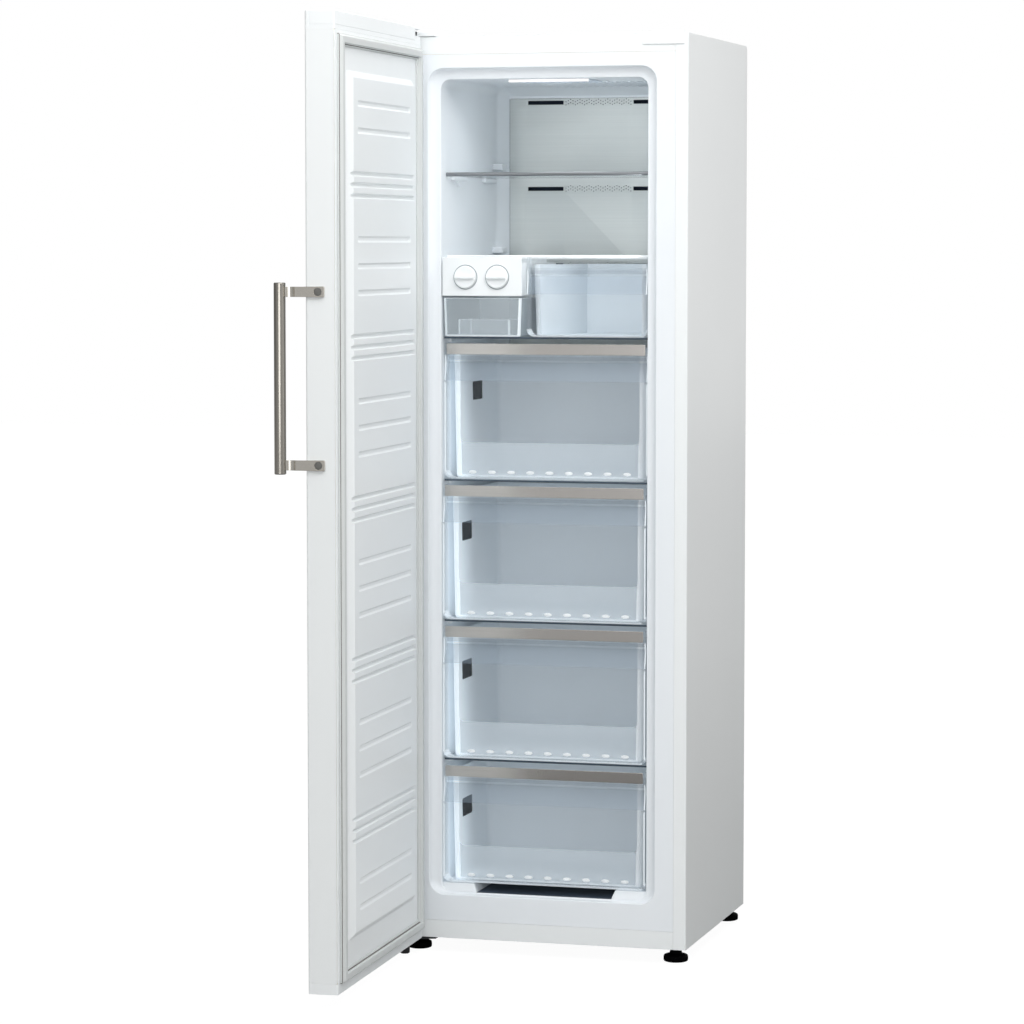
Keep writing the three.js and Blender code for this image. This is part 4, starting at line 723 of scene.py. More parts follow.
for level in slot_levels[:3]:
    for number in range(holes_in_row):
        x = middle_x - 70 + number * hole_pitch
        z = level + 1.5 + (0, 2.4, 4.8, 2.4)[number % 4]
        for drop in (0, row_drop):
            bpy.ops.object.select_all(action="DESELECT")
            bpy.ops.mesh.primitive_cylinder_add(
                vertices=8, radius=hole_radius, depth=0.012, location=at(x, duct_front, z - drop),
                rotation=(math.pi / 2, 0, 0),
            )
            holes.append(bpy.context.object)
tools = attach(holes[0], *holes[1:])
set_in_mesh()
trim(plate, tools)
fan_low, fan_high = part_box("evaporator_fan")
fan_spot = (fan_low + fan_high) / 2
motor = turned("fan_motor", (fan_spot.x, at(0, duct_front + 4, 0).y, fan_spot.z), "Y", [
    (0, -0.3), (24, -0.3), (24, 11), (22, 14), (9, 14), (8, 16), (3, 16), (3, 32), (0, 32),
])
smooth(motor, 30)
attach(plate, motor)
settle(plate, duct_steel, "cabinet", "duct_steel", "air_duct_panel")
coil_aluminium = brushed(
    "coil_aluminium", (205, 210, 213), (184, 190, 194), (200.0, 200.0, 20.0), rough=0.38, spread=0.15,
    depth=0.2, Metallic=1.0,
)
fan_plastic = drift("fan_plastic", (224, 229, 232), (214, 220, 224), rough=0.45, grain=500.0)
dress("evaporator", coil_aluminium)
dress("evaporator_fan", fan_plastic)


# ---- Light cover ----------------------------------------------------------------------------
# A thin frosted lens clipped into the ceiling behind the front edge. It is moulded in clear
# plastic with a fine grain inside, and its front lip glows with the lamp behind it.
lens_plastic = drift(
    "lens_plastic", (226, 233, 242), (216, 225, 236), patch=9.0, rough=0.35, grain=700.0, depth=0.3,
)
lens_glow = drift(
    "lens_glow", (250, 248, 249), (246, 244, 246), patch=9.0, rough=0.35, grain=700.0,
    Emission_Color=(1, 0.97, 0.97, 1), Emission_Strength=0.5,
)
x0, x1, y0, y1, z0, z1 = span("light_cover")
lip_depth, rib_count = 9, 12
lens = slab("light_lens", x0, x1, y0, y1, z0 + 2.4, z1)
round_off(lens, 6, 5, runs("Z", 2))
ribs = [soft_slab("lens_lip", 0.7, 3, x0 + 1, x1 - 1, y0, y0 + lip_depth, z0, z0 + 3)]
for number in range(rib_count):
    x = x0 + 9 + number * (x1 - x0 - 21) / (rib_count - 1)
    ribs.append(soft_slab("lens_rib", 0.5, 2, x, x + 3, y0 + 8, y1 - 5, z0 + 1.2, z0 + 3))
ease(lens, 0.8, 2)
attach(lens, *ribs)
settle(lens, lens_plastic, "cabinet", "frosted_plastic", "light_cover")
paint(lens, lens_glow, lambda m, n: m.y < y0 + lip_depth)


# ---- Upper hinge and the two caps -----------------------------------------------------------
# A stamped zinc-plated arm screwed to the cabinet's top carries the door's pin. A moulded
# white cap hides its screws, and a blank cap fills the same place on the right.
zinc_steel = brushed(
    "zinc_steel", (196, 200, 203), (168, 174, 178), (30.0, 30.0, 30.0), rough=0.42, spread=0.2, depth=0.05,
    Metallic=0.9,
)
white_plastic = drift(
    "white_plastic", (244, 247, 248), (239, 243, 245), patch=6.0, grain=800.0, depth=0.16, IOR=1.5,
)
dress("upper_hinge", zinc_steel)
x0, x1, y0, y1, z0, z1 = span("hinge_cover_left")
cover = slab("hinge_cap", x0, x1, y0, y1, z0, z1)
round_off(cover, 5, 6, runs("Z", 3))
round_off(cover, 3, 5, lambda m, spots, e: all(abs(s.z - z1) < 0.1 for s in spots))
take_off(cover, lambda m, spots, f: f.normal.z < -0.9)
thicken(cover, 2)
trim(cover, slab("mouth", x0 + 2, 42, y0 - 5, y0 + 5, z0 - 5, z1 - 2))
smooth(cover, 35)
settle(cover, white_plastic, "cabinet", "white_plastic", "hinge_cover_left")
x0, x1, y0, y1, z0, z1 = span("hinge_cover_right")
blank = slab("blank_cap", x0, x1, y0, -0.3, z0, z1)
trim(blank, slab("blank_lid", x0 + 0.2, x1 - 0.2, -0.5, y1, z1 - 3, z1), "UNION")
ease(blank, 0.7, 3)
settle(blank, white_plastic, "cabinet", "white_plastic", "hinge_cover_right")


# ---- Base, feet and bottom hinge ------------------------------------------------------------
# The base is pressed from steel and painted black. Four moulded feet screw into it, each with
# a ribbed rim to turn it by hand, and a black hinge plate sits over the front left one.
black_plastic = drift(
    "black_plastic", (5, 5, 6), (9, 9, 10), patch=30.0, rough=0.6, spread=0.15, grain=900.0, depth=0.3,
    Specular_IOR_Level=0.03,
)
black_paint = drift(
    "black_paint", (34, 36, 38), (44, 46, 48), patch=20.0, rough=0.4, spread=0.15, grain=500.0, depth=0.15,
)
dress("base_frame", black_paint)
rim_steps = 64
low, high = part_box("foot_front_right")
foot_x, foot_y = (low.x + high.x) / 2, (low.y + high.y) / 2
foot = turned("foot", (foot_x, foot_y, 0), "Z", [
    (0, 0), (21, 0), (23.5, 1), (24.6, 3), (24.6, 10), (23.6, 12.6), (21, 14), (15, 15), (13, 16),
    (12, 20), (11, 23), (5, 23), (5, 51.6), (4.4, 52), (0, 52),
], rim_steps)


def between_ribs(m, spots, f):
    """Every other face round the rim."""
    x, y = m.x - (foot_x - shell_low.x) * 1000, m.y - (foot_y - shell_low.y) * 1000
    place = int((math.atan2(y, x) / (2 * math.pi)) * rim_steps + (2 * rim_steps + 0.5))
    return 3.5 < m.z < 9.5 and math.hypot(x, y) > 24 and place % 2 == 0


inset(foot, 0.4, -0.8, between_ribs, use_individual=True)
smooth(foot, 40)
feet = {"front_right": foot}
for name in ("front_left", "rear_left", "rear_right"):
    piece = foot.copy()
    piece.data = foot.data.copy()
    scene.collection.objects.link(piece)
    low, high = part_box(f"foot_{name}")
    piece.location = ((low.x + high.x) / 2 - foot_x, (low.y + high.y) / 2 - foot_y, 0)
    take(piece)
    set_in_mesh()
    feet[name] = piece
for name, piece in feet.items():
    piece.name = f"round_foot_{name}"
    settle(piece, black_plastic, f"foot_{name}", "base_plastic", f"foot_{name}")
dress("lower_hinge", black_paint)


# ---- Machine space and back -----------------------------------------------------------------
# A sealed compressor stands on rubber in the lower back, under its tray for melt water. A
# slotted steel cover closes the space, and a plain zinc-plated panel closes the foam above.
dress("compressor", black_paint)
dress("drip_tray", black_plastic)
dress("compartment_cover", zinc_steel)
panel_steel = brushed(
    "panel_steel", (203, 207, 209), (186, 191, 194), (6.0, 6.0, 90.0), rough=0.4, spread=0.18, depth=0.08,
    Metallic=0.75,
)
dress("rear_panel", panel_steel)
foam_stuff = drift(
    "foam_stuff", (226, 205, 146), (208, 184, 122), patch=60.0, rough=0.85, grain=350.0, depth=0.6,
)
dress("foam_insulation", foam_stuff)
dress("door_foam", foam_stuff)


# ---- Glass shelves --------------------------------------------------------------------------
# Six plates of toughened glass with ground edges. Light inside the plate makes the edges
# look dark and bluish, while the faces stay clear.
def see_through(name, tint, clear, edge, rough=0.08, power=2.5, **sockets):
    """A clear sheet: faint when looked through, and fuller towards grazing angles."""
    stuff = drift(name, tint, tint, rough=rough, spread=0.04, grain=120.0, depth=0.03, **sockets)
    tree = stuff.node_tree
    facing = add_node(tree, "LayerWeight", Blend=0.5).outputs["Facing"]
    fill = ramp(tree, calculate(tree, "POWER", facing, power), 0, 1, clear, edge)
    tree.links.new(fill, tree.nodes["Principled BSDF"].inputs["Alpha"])
    return stuff


shelf_glass = see_through("shelf_glass", (222, 233, 238), 0.14, 0.9, rough=0.06, power=3.5, IOR=1.52)
glass_edge = drift("glass_edge", (72, 86, 100), (56, 68, 82), patch=40.0, rough=0.25, grain=900.0)
for number in range(1, 7):
    glass = slab(f"glass_{number}", *span(f"shelf_{number}_glass"))
    round_off(glass, 4, 4, runs("Z", 3))
    ease(glass, 0.6, 2)
    settle(glass, shelf_glass, "cabinet", "glass", f"shelf_{number}_glass")
    paint(glass, glass_edge, lambda m, n: abs(n.z) < 0.5)


# ---- Shelf trims ----------------------------------------------------------------------------
# A bar grips the front edge of each upper shelf: the top one is rolled from warm grey metal,
# and the second is moulded in white plastic.
def fillet(corners, steps=5):
    """Corner points (u, v, radius) as one outline with its corners rounded."""
    rounded = []
    for number, (u, v, radius) in enumerate(corners):
        here = Vector((u, v))
        before = Vector(corners[number - 1][:2]) - here
        after = Vector(corners[(number + 1) % len(corners)][:2]) - here
        if radius <= 0:
            rounded.append((u, v))
            continue
        half = before.angle(after) / 2
        run = min(radius / math.tan(half), 0.49 * before.length, 0.49 * after.length)
        start, end = here + before.normalized() * run, here + after.normalized() * run
        inward = (before.normalized() + after.normalized()).normalized()
        centre = here + inward * (run * math.tan(half) / math.sin(half))
        first = start - centre
        sweep = first.angle_signed(end - centre)
        rounded += [tuple(centre + Matrix.Rotation(-sweep * i / steps, 2) @ first) for i in range(steps + 1)]
    return rounded


def drawn(name, along, outline, low, high):
    """An outline drawn point by point in the two other axes, filled and extruded along one."""
    axis = "XYZ".index(along)

    def spot(point):
        place = list(point)
        place.insert(axis, low)
        return at(*place)

    piece = chain(name, [spot(point) for point in outline])
    bpy.ops.mesh.edge_face_add()
    reach = [0, 0, 0]
    reach[axis] = (high - low) * 0.001
    bpy.ops.mesh.extrude_region_move(TRANSFORM_OT_translate={"value": reach})
    close_outward()
    return piece


trim_steel = brushed(
    "trim_steel", (150, 153, 156), (132, 135, 139), (8.0, 400.0, 400.0), spread=0.12, Metallic=0.85,
)
for number, stuff, slot in ((1, trim_steel, "strip_steel"), (2, white_plastic, "white_plastic")):
    x0, x1, y0, y1, z0, z1 = span(f"shelf_{number}_trim")
    glass_low, glass_high = span(f"shelf_{number}_glass")[4:]
    low_lip, high_lip = glass_low - 0.3, glass_high + 0.3
    bar = drawn(f"shelf_bar_{number}", "X", fillet([
        (y0, z0, 3.2), (y1, z0, 0.8), (y1, low_lip, 0.5), (y0 + 3, low_lip, 0),
        (y0 + 3, high_lip, 0), (y1, high_lip, 0.4), (y1, z1, 0.8), (y0, z1, 3.2),
    ]), x0, x1)
    round_off(bar, 1.6, 4, lambda m, spots, e: (abs(m.x - x0) < 0.1 or abs(m.x - x1) < 0.1) and m.y < y0 + 3)
    smooth(bar, 40)
    settle(bar, stuff, "cabinet", slot, f"shelf_{number}_trim")


# ---- Ice maker ------------------------------------------------------------------------------
# A white moulded housing hangs under the second shelf. Each round knob is pressed on the
# shaft of a twist tray with two rows of cells, over a clear box with a low tray in it.
x0, x1, y0, y1, z0, z1 = span("ice_maker_housing")
knob_boxes = {side: span(f"ice_knob_{side}") for side in ("left", "right")}
knob_spots = {side: ((b[0] + b[1]) / 2, (b[4] + b[5]) / 2) for side, b in knob_boxes.items()}
front_z1 = glass_tops[2] - 1.8
ring_in, ring_out = 23.2, 25.0
shaft_bore = 4.4
ring_shade = drift("ring_shade", (150, 158, 164), (138, 146, 152), patch=60.0, rough=0.6, grain=600.0)
housing = soft_slab("ice_front", 1.4, 4, x0, x1, y0, y0 + 3.5, z0, front_z1)
body_box = slab("ice_body", x0 + 0.5, x1 - 0.5, y0 + 3.3, y1, z0 + 1, front_z1 - 11)
trim(body_box, slab("hollow", x0 + 2.5, x1 - 2.5, y0 + 3, y1 - 2.5, z0 - 5, front_z1 - 13.5))
trim(body_box, slab("skylight", x0 + 21, x1 - 21, y0 + 6.5, y1 - 3.5, front_z1 - 20, front_z1 - 5))
ease(body_box, 0.6, 2)
additions = [
    soft_slab("hook", 0.8, 2, x, x + 6, 65, y1 - 20, front_z1 - 12, glass_tops[2] - glass_seat)
    for x in (x0 + 14, x1 - 20)
]
for x, z in knob_spots.values():
    ring = turned("knob_ring", at(x, 0, z), "Y", [
        (ring_in, y0 + 1), (ring_in, y0 - 0.2), (23.6, y0 - 0.7), (24.4, y0 - 0.7), (ring_out, y0 + 0.4),
        (ring_out, y0 + 1), (ring_in, y0 + 1),
    ], 64)
    smooth(ring, 30)
    additions.append(ring)
    for piece in (housing, body_box):
        trim(piece, rod("bore", at(x, 0, z), "Y", shaft_bore, y0 - 5, y1 + 5, 32))
smooth(housing, 35)
attach(housing, body_box, *additions)
settle(housing, white_plastic, "cabinet", "white_plastic", "ice_maker_housing")
# Painted shade: the front of each knob's ring is coloured grey, for the shade in the gap round the knob.
paint(housing, ring_shade, lambda m, n: y0 - 0.72 < m.y < y0 + 0.8 and any(
    ring_in - 0.1 < math.hypot(m.x - x, m.z - z) < ring_out + 0.05 for x, z in knob_spots.values()))
for side, (x, z) in knob_spots.items():
    disc = y0 - 7
    knob = turned(f"knob_{side}", at(x, 0, z), "Y", [
        (0, disc + 1.6), (9, disc + 1.3), (16, disc + 0.6), (19.4, disc), (20.8, disc + 0.3),
        (22.0, disc + 1.2), (22.5, disc + 2.6), (22.5, y0 - 0.3), (4, y0 - 0.3), (4, y0 + 8.3),
        (3.4, y0 + 8.5), (0, y0 + 8.5),
    ], 72)
    grip = slab("grip", x - 20, x + 20, knob_boxes[side][2], disc + 3, z - 2.6, z + 2.6)
    resize(grip, (1, 1, 1.9), at(x, disc, z), lambda m, spots, f: f.normal.y > 0.9)
    round_off(grip, 2.2, 4, runs("Y", 3))
    ease(grip, 0.9, 3, 25)
    smooth(knob, 40)
    attach(knob, grip)
    settle(knob, white_plastic, f"ice_tray_{side}", "white_plastic", f"ice_knob_{side}")
tray_plastic = see_through("tray_plastic", (214, 226, 234), 0.75, 0.95, rough=0.35)
tray_wall, cells_in_row = 2, 6
for side, (x, z) in knob_spots.items():
    tx0, tx1, ty0, ty1, tz0, tz1 = span(f"ice_tray_{side}")
    body_end = ty1 - 3.5
    tray = slab(f"twist_tray_{side}", tx0, tx1, ty0, body_end, tz0, tz1)
    trim(tray, slab(
        "rim", tx0 + tray_wall, tx1 - tray_wall, ty0 + tray_wall, body_end - tray_wall, tz1 - 8, tz1 + 5,
    ))
    pitch = (body_end - ty0 - tray_wall) / cells_in_row
    for row in range(cells_in_row):
        for near, far in ((tx0 + tray_wall, x - 1), (x + 1, tx1 - tray_wall)):
            start = ty0 + tray_wall + row * pitch
            floor_z = tz0 + tray_wall
            cell = slab("cell", near, far, start, start + pitch - tray_wall, floor_z, tz1 + 5)
            cell_middle = at((near + far) / 2, start + pitch / 2 - 1, floor_z)
            resize(cell, (0.84, 0.84, 1), cell_middle, lambda m, spots, f: f.normal.z < -0.9)
            trim(tray, cell)
    ease(tray, 0.5, 2)
    pivot = turned("pivot", at(x, 0, z), "Y", [
        (0, body_end - 1), (4, body_end - 1), (4, ty1 - 0.3), (3.6, ty1), (0, ty1),
    ], 28)
    smooth(pivot, 40)
    attach(tray, pivot)
    settle(tray, tray_plastic, f"ice_tray_{side}", "frosted_plastic", f"ice_tray_{side}")


def tub(name, x0, x1, y0, y1, z0, z1, wall, taper, radius, foot=4.0):
    """An open moulded box: drafted outer walls, a rounded foot, a soft rim and an inner hollow."""
    def ring(inset, z, sink=0.0):
        share = taper * (z1 - z) / (z1 - z0)
        inner = inset + sink
        return (
            x0 + inner + share, x1 - inner - share, y0 + inner, y1 - inner - share,
            max(radius - inner, 1.0), z,
        )

    curl = [(0, 1), (0.13, 0.5), (0.5, 0.13), (1, 0)]
    outside = [ring(0, z0 + foot * rise, foot * sink) for rise, sink in curl]
    rim = [ring(0, z1 - 0.6), ring(0.5, z1), ring(wall - 0.5, z1 - 0.05), ring(wall, z1 - 0.6)]
    inside = [ring(wall, z0 + wall + foot * rise, foot * sink) for rise, sink in reversed(curl)]
    return lofted(name, "Z", outside + rim + inside)


clear_plastic = see_through("clear_plastic", (222, 232, 240), 0.035, 0.5, rough=0.1, power=3.5, IOR=1.5)
# Emission colour of the painted highlights and glows.
painted_glow_pale = {"Emission_Color": (0.93, 0.97, 1, 1)}
# Painted highlight: near-white, faintly glowing paint on the cut edges and rims of clear plastic.
painted_edge_highlight = drift(
    "painted_edge_highlight", (238, 244, 248), (226, 235, 241), patch=60.0, rough=0.2, grain=500.0,
    Alpha=0.82, IOR=1.5, Emission_Strength=0.16, **painted_glow_pale,
)
box_plastic = see_through("box_plastic", (222, 233, 240), 0.24, 0.6, rough=0.1, IOR=1.5)
x0, x1, y0, y1, z0, z1 = span("ice_box")
ice_bin = tub("ice_bin", x0, x1, y0, y1, z0, z1, 2.5, 3, 7, 3)
smooth(ice_bin, 40)
settle(ice_bin, box_plastic, "ice_box", "clear_plastic", "ice_box")
# Painted highlights on the box's rim, its front corners and its front foot.
paint(ice_bin, painted_edge_highlight, lambda m, n: m.z > z1 - 1.2 or (m.y < y0 + 6 and (
    (abs(n.x) > 0.25 and abs(n.y) > 0.25) or (m.z < z0 + 3.5 and abs(n.z) > 0.2))))
x0, x1, y0, y1, z0, z1 = span("ice_scoop_tray")
scoop = tub("scoop_tray", x0, x1, y0, y1, z0, z1, 2, 0.01, 5, 3)
smooth(scoop, 40)
settle(scoop, box_plastic, "ice_box", "clear_plastic", "ice_scoop_tray")
# Painted highlights on the tray's rim and its corners.
paint(scoop, painted_edge_highlight, lambda m, n: m.z > z1 - 1.2 or (abs(n.x) > 0.25 and abs(n.y) > 0.25))


# ---- Drawers --------------------------------------------------------------------------------
# Each bin is a frosted tub with a low front wall, bumps along its foot and a side cut-out on
# both sides, with a thin dark sheet behind it for painted shade. A clear front, bent to leave a
# finger recess under its steel-look strip, snaps round the bin with two shaped cheeks.
def clear_front(name, x0, x1, y, z0, z1, drop):
    """A moulded front: outer form, hollow from behind, with a finger recess between its cheeks."""
    wall, strip_space, back, tiny = 2.5, 2.9, y + 31, 0.01
    ledge, inner_ledge = y + strip_space, y + strip_space + wall

    def round_corners(piece, inset, radius, top, reach):
        """Rounds the two lower corners of a front, seen from the front."""
        left, right, low = x0 + inset - tiny, x1 - inset + tiny, z0 + inset - tiny
        trim(piece, drawn("corners", "Y", fillet([
            (left, low, radius), (right, low, radius), (right, z1 + top, 0), (left, z1 + top, 0),
        ], 8), y - 3, back + reach), "INTERSECT")

    front = drawn(name, "X", fillet([
        (back, z0, 1), (y, z0, 11), (y, z1 - drop, 18), (y + 6, z1 - 40, 14), (ledge, z1 - 24, 4),
        (ledge, z1, 0.6), (back, z1, 5),
    ], 6), x0, x1)
    round_corners(front, 0, 16, 5, 5)
    hollow = drawn("hollow", "X", fillet([
        (back + 9, z0 + wall, 0), (y + wall, z0 + wall, 8.5), (y + wall, z1 - drop + 0.8, 14),
        (y + 24, z1 - 36, 9), (y + 19.5, z1 - 24.5, 5), (inner_ledge, z1 - 21, 1.5),
        (inner_ledge, z1 + 9, 0), (back + 9, z1 + 9, 0),
    ], 6), x0 + wall, x1 - wall)
    round_corners(hollow, wall, 13.5, 15, 15)
    trim(front, hollow)
    low_edge, high_edge = z1 - drop - 0.4, z1 - 22.4
    trim(front, drawn("recess", "X", fillet([
        (y - 5, low_edge, 0), (y - 0.001, low_edge, 14), (y + 21, z1 - 36, 7), (y + 17, z1 - 26.5, 3),
        (ledge + tiny, z1 - 23, 1), (ledge + tiny, high_edge, 0), (y - 5, high_edge, 0),
    ], 6), x0 + wall, x1 - wall))
    inset(front, 3.2, -0.3, lambda m, spots, f: f.normal.y < -0.99 and f.calc_area() > 0.02)
    ease(front, 0.5, 2, 40)
    return front


# Emission colour of the painted glows in the bins.
painted_glow_blue = (0.82, 0.93, 1, 1)
# Painted shade for the upward faces of each front's finger recess: a darker, fuller blue-grey.
recess_shade = see_through("recess_shade", (150, 166, 182), 0.3, 0.6, rough=0.12, IOR=1.5)
frosted_plastic = see_through("frosted_plastic", (238, 244, 249), 0.95, 0.99, rough=0.42, power=1.5)
# A thinner frost for the bins' low front walls, with a faint painted glow.
thin_frost_and_glow = see_through(
    "thin_frost_and_glow", (222, 232, 240), 0.3, 0.6, rough=0.42, power=2.0, Emission_Color=painted_glow_blue,
    Emission_Strength=0.08,
)
# Painted light: the frosted plastic glows faintly all over, and more near each bin's left front corner.
tree = frosted_plastic.node_tree
axes = add_node(tree, "SeparateXYZ")
wire(tree, (add_node(tree, "TexCoord").outputs["Object"], axes.inputs[0]))
to_left = calculate(tree, "SUBTRACT", at(middle_x, 0, 0).x, axes.outputs["X"])
beside = ramp(tree, to_left, 0.15, 0.2, 0, 1, "SMOOTHSTEP")
in_front = ramp(tree, axes.outputs["Y"], at(0, 215, 0).y, at(0, 45, 0).y, 0, 1, "SMOOTHSTEP")
painted_corner_glow = ramp(tree, calculate(tree, "MULTIPLY", beside, in_front), 0, 1, 0.035, 0.4)
shader = tree.nodes["Principled BSDF"].inputs
wire(tree, (painted_corner_glow, shader["Emission Strength"]))
shader["Emission Color"].default_value = painted_glow_blue
# Painted highlight: near-white, faintly glowing paint for the bumps along the bins' foot.
painted_bump_highlight = drift(
    "painted_bump_highlight", (250, 251, 252), (246, 248, 250), patch=60.0, rough=0.5, grain=300.0,
    Emission_Strength=0.03, **painted_glow_pale,
)
# Painted shade: near-black for the thin sheets behind the side cut-outs, standing for the shaded gap between
# bin and liner.
hole_shade = drift(
    "hole_shade", (20, 27, 38), (10, 14, 20), patch=30.0, rough=0.9, grain=300.0,
    Specular_IOR_Level=0.0,
)
# Painted light: a glowing pale plastic for the left cheek of each clear front.
painted_cheek_light = see_through(
    "painted_cheek_light", (240, 245, 249), 0.4, 0.6, rough=0.3, Emission_Strength=0.2, **painted_glow_pale,
)


def fit_front(name, node, body, drop):
    """Puts on a clear front, with painted highlights on its cut edges, painted shade in its finger recess and
    painted light on its left cheek.
    """
    x0, x1, y0, y1, z0, z1 = span(node)
    piece = clear_front(name, x0, x1, y0, z0, z1, drop)
    settle(piece, clear_plastic, body, "clear_plastic", node)

    def at_edge(m, n):
        """True where the painted highlight goes: the cut edges, the rounded lower corners and under the foot.
        """
        beside = m.x < x0 + 3.4 or m.x > x1 - 3.4
        in_corner = m.z < z0 + 17 and (m.x < x0 + 17 or m.x > x1 - 17)
        if n.y < -0.3 and (beside or m.z < z0 + 3.4 or in_corner):
            return True
        return (in_corner and -0.98 < n.y < 0.5) or (n.z < -0.5 and m.z < z0 + 3)

    # Painted shade on the upward faces of the finger recess.
    paint(piece, recess_shade, lambda m, n: z1 - drop < m.z < z1 - 26 and n.z > 0.2 and x0 + 3 < m.x < x1 - 3)
    paint(piece, painted_edge_highlight, at_edge)
    # Painted light on the lower part of the left cheek.
    paint(piece, painted_cheek_light, lambda m, n: abs(n.x) > 0.9 and m.x < x0 + 3 and m.z < z1 - drop + 20)


strip_steel = brushed(
    "strip_steel", (214, 211, 207), (196, 192, 187), (3.0, 300.0, 380.0), rough=0.2, depth=0.08,
    Metallic=0.95,
)
mouth_inset, mouth_height = 16, 72
hole_length, hole_radius = 75, 4
bump_first, bump_pitch, bump_count, bump_height = 42, 40, 9, 12
for number in (1, 2, 3, 4):
    body = f"drawer_{number}"
    fit_front(f"clear_front_{number}", f"{body}_front", body, 75)
    strip = slab(f"steel_strip_{number}", *span(f"{body}_strip"))
    round_off(strip, 2, 4, runs("Y", 1))
    ease(strip, 0.7, 3)
    settle(strip, strip_steel, body, "strip_steel", f"{body}_strip")
    x0, x1, y0, y1, z0, z1 = span(f"{body}_bin")
    basket = tub(f"frosted_bin_{number}", x0, x1, y0, y1, z0, z1, 2, 5, 14, 6)
    left, right, low = x0 + mouth_inset, x1 - mouth_inset, z0 + mouth_height
    trim(basket, drawn("mouth", "Y", fillet([
        (left, low, 10), (right, low, 10), (right, z1 + 9, 0), (left, z1 + 9, 0),
    ]), y0 - 5, y0 + 3.2))
    hole_y = y0 + (130 if number == 1 else 65)
    hole_z0, hole_z1 = z1 - 104, z1 - 66
    for near, far in ((x0 - 5, x0 + 20), (x1 - 20, x1 + 5)):
        trim(basket, drawn("side_hole", "X", fillet([
            (hole_y, hole_z0, hole_radius), (hole_y + hole_length, hole_z0, hole_radius),
            (hole_y + hole_length, hole_z1, hole_radius), (hole_y, hole_z1, hole_radius),
        ]), near, far))
    smooth(basket, 35)
    # A thin dark sheet behind each side cut-out stands in for shade.
    additions = [
        slab("shade_sheet", x, x + 0.6, hole_y - 2, hole_y + hole_length + 2, hole_z0 - 2, hole_z1 + 2)
        for x in (x0 + 1.1, x1 - 1.7)
    ]
    bump_places = [x0 + bump_first + place * bump_pitch for place in range(bump_count)]
    for x in bump_places:
        bpy.ops.object.select_all(action="DESELECT")
        bpy.ops.mesh.primitive_uv_sphere_add(
            segments=20, ring_count=12, radius=0.001, location=at(x, y0 - 0.2, z0 + bump_height),
        )
        bump = bpy.context.object
        bump.scale = (8.5, 1.2, 3.6)
        set_in_mesh()
        smooth(bump, 60)
        additions.append(bump)
    attach(basket, *additions)
    settle(basket, frosted_plastic, body, "frosted_plastic", f"{body}_bin")
    # The low front wall takes the thinner frost with its painted glow.
    paint(basket, thin_frost_and_glow, lambda m, n: (
        m.y < y0 + 4 and abs(n.y) > 0.9 and left < m.x < right and z0 + 16 < m.z < low + 1))
    # Painted shade on the sheets behind the side cut-outs.
    paint(basket, hole_shade, lambda m, n: (
        abs(n.x) > 0.9 and abs(m.y - hole_y - hole_length / 2) < 1
        and abs(m.z - (hole_z0 + hole_z1) / 2) < 1 and (m.x < x0 + 1.8 or m.x > x1 - 1.8)))
    # Painted highlights on the fronts of the bumps.
    paint(basket, painted_bump_highlight, lambda m, n: m.y < y0 + 1.3 and abs(m.z - z0 - bump_height) < 3.7 and any(
        abs(m.x - x) < 9.1 for x in bump_places))


# ---- Small drawer ---------------------------------------------------------------------------
# A low white tub beside the ice maker. A curved wall closes off its back left corner, and a
# clear front like those of the big drawers, without a strip, closes it.
fit_front("small_clear_front", "small_drawer_front", "small_drawer", 74)
x0, x1, y0, y1, z0, z1 = span("small_drawer_bin")
small_tub = tub("small_tub", x0, x1, y0, y1, z0, z1, 2, 5, 14, 5)
trim(small_tub, slab("mouth", x0 + 14, x1 - 14, y0 - 5, y0 + 3, z0 + 5, z1 + 9))
bulge_width, bulge_length, bulge_wall = 36.5, 245, 2


def bulge(grow):
    """The curved wall in plan, from the left wall near the front to the back wall."""
    return [
        (x0 + (bulge_width + grow) * (1 - run), y1 - (bulge_length + grow) * rise)
        for rise, run in quarter_turn(28)
    ]


curved_wall = drawn("curved_wall", "Z", bulge(0)[::-1] + bulge(bulge_wall), z0 + 0.5, z1)
ease(curved_wall, 0.4, 2, 60)
ice_side = [(x0 - 9, y1 + 9), *((x - 0.01, y) for x, y in bulge(0)), (x0 - 9, y1 - bulge_length)]
trim(small_tub, drawn("ice_side", "Z", ice_side, z0 - 5, z1 + 5))
smooth(small_tub, 35)
attach(small_tub, curved_wall)
tub_plastic = drift("tub_plastic", (232, 239, 244), (226, 234, 240), patch=8.0)
settle(small_tub, tub_plastic, "small_drawer", "frosted_plastic", "small_drawer_bin")


# ---- Door -----------------------------------------------------------------------------------
# A painted steel skin and a vacuum-formed liner hold the foam between two moulded end caps,
# and a magnetic seal is pressed into the liner's rim. It is built closed, then swung open.
hinge = next(joint for joint in frame["joints"] if joint["name"] == "door_hinge")
pin = Vector((hinge["pos_m"][0], hinge["pos_m"][1], 0))
open_turn = Matrix.Rotation(math.radians(hinge["range_deg"][0]), 4, "Z")
door_swing = Matrix.Translation(pin) @ open_turn @ Matrix.Translation(-pin)


def swing(piece):
    """Turns a piece that was built on the closed door to the door's rest pose."""
    piece.matrix_world = door_swing
    take(piece)
    set_in_mesh()


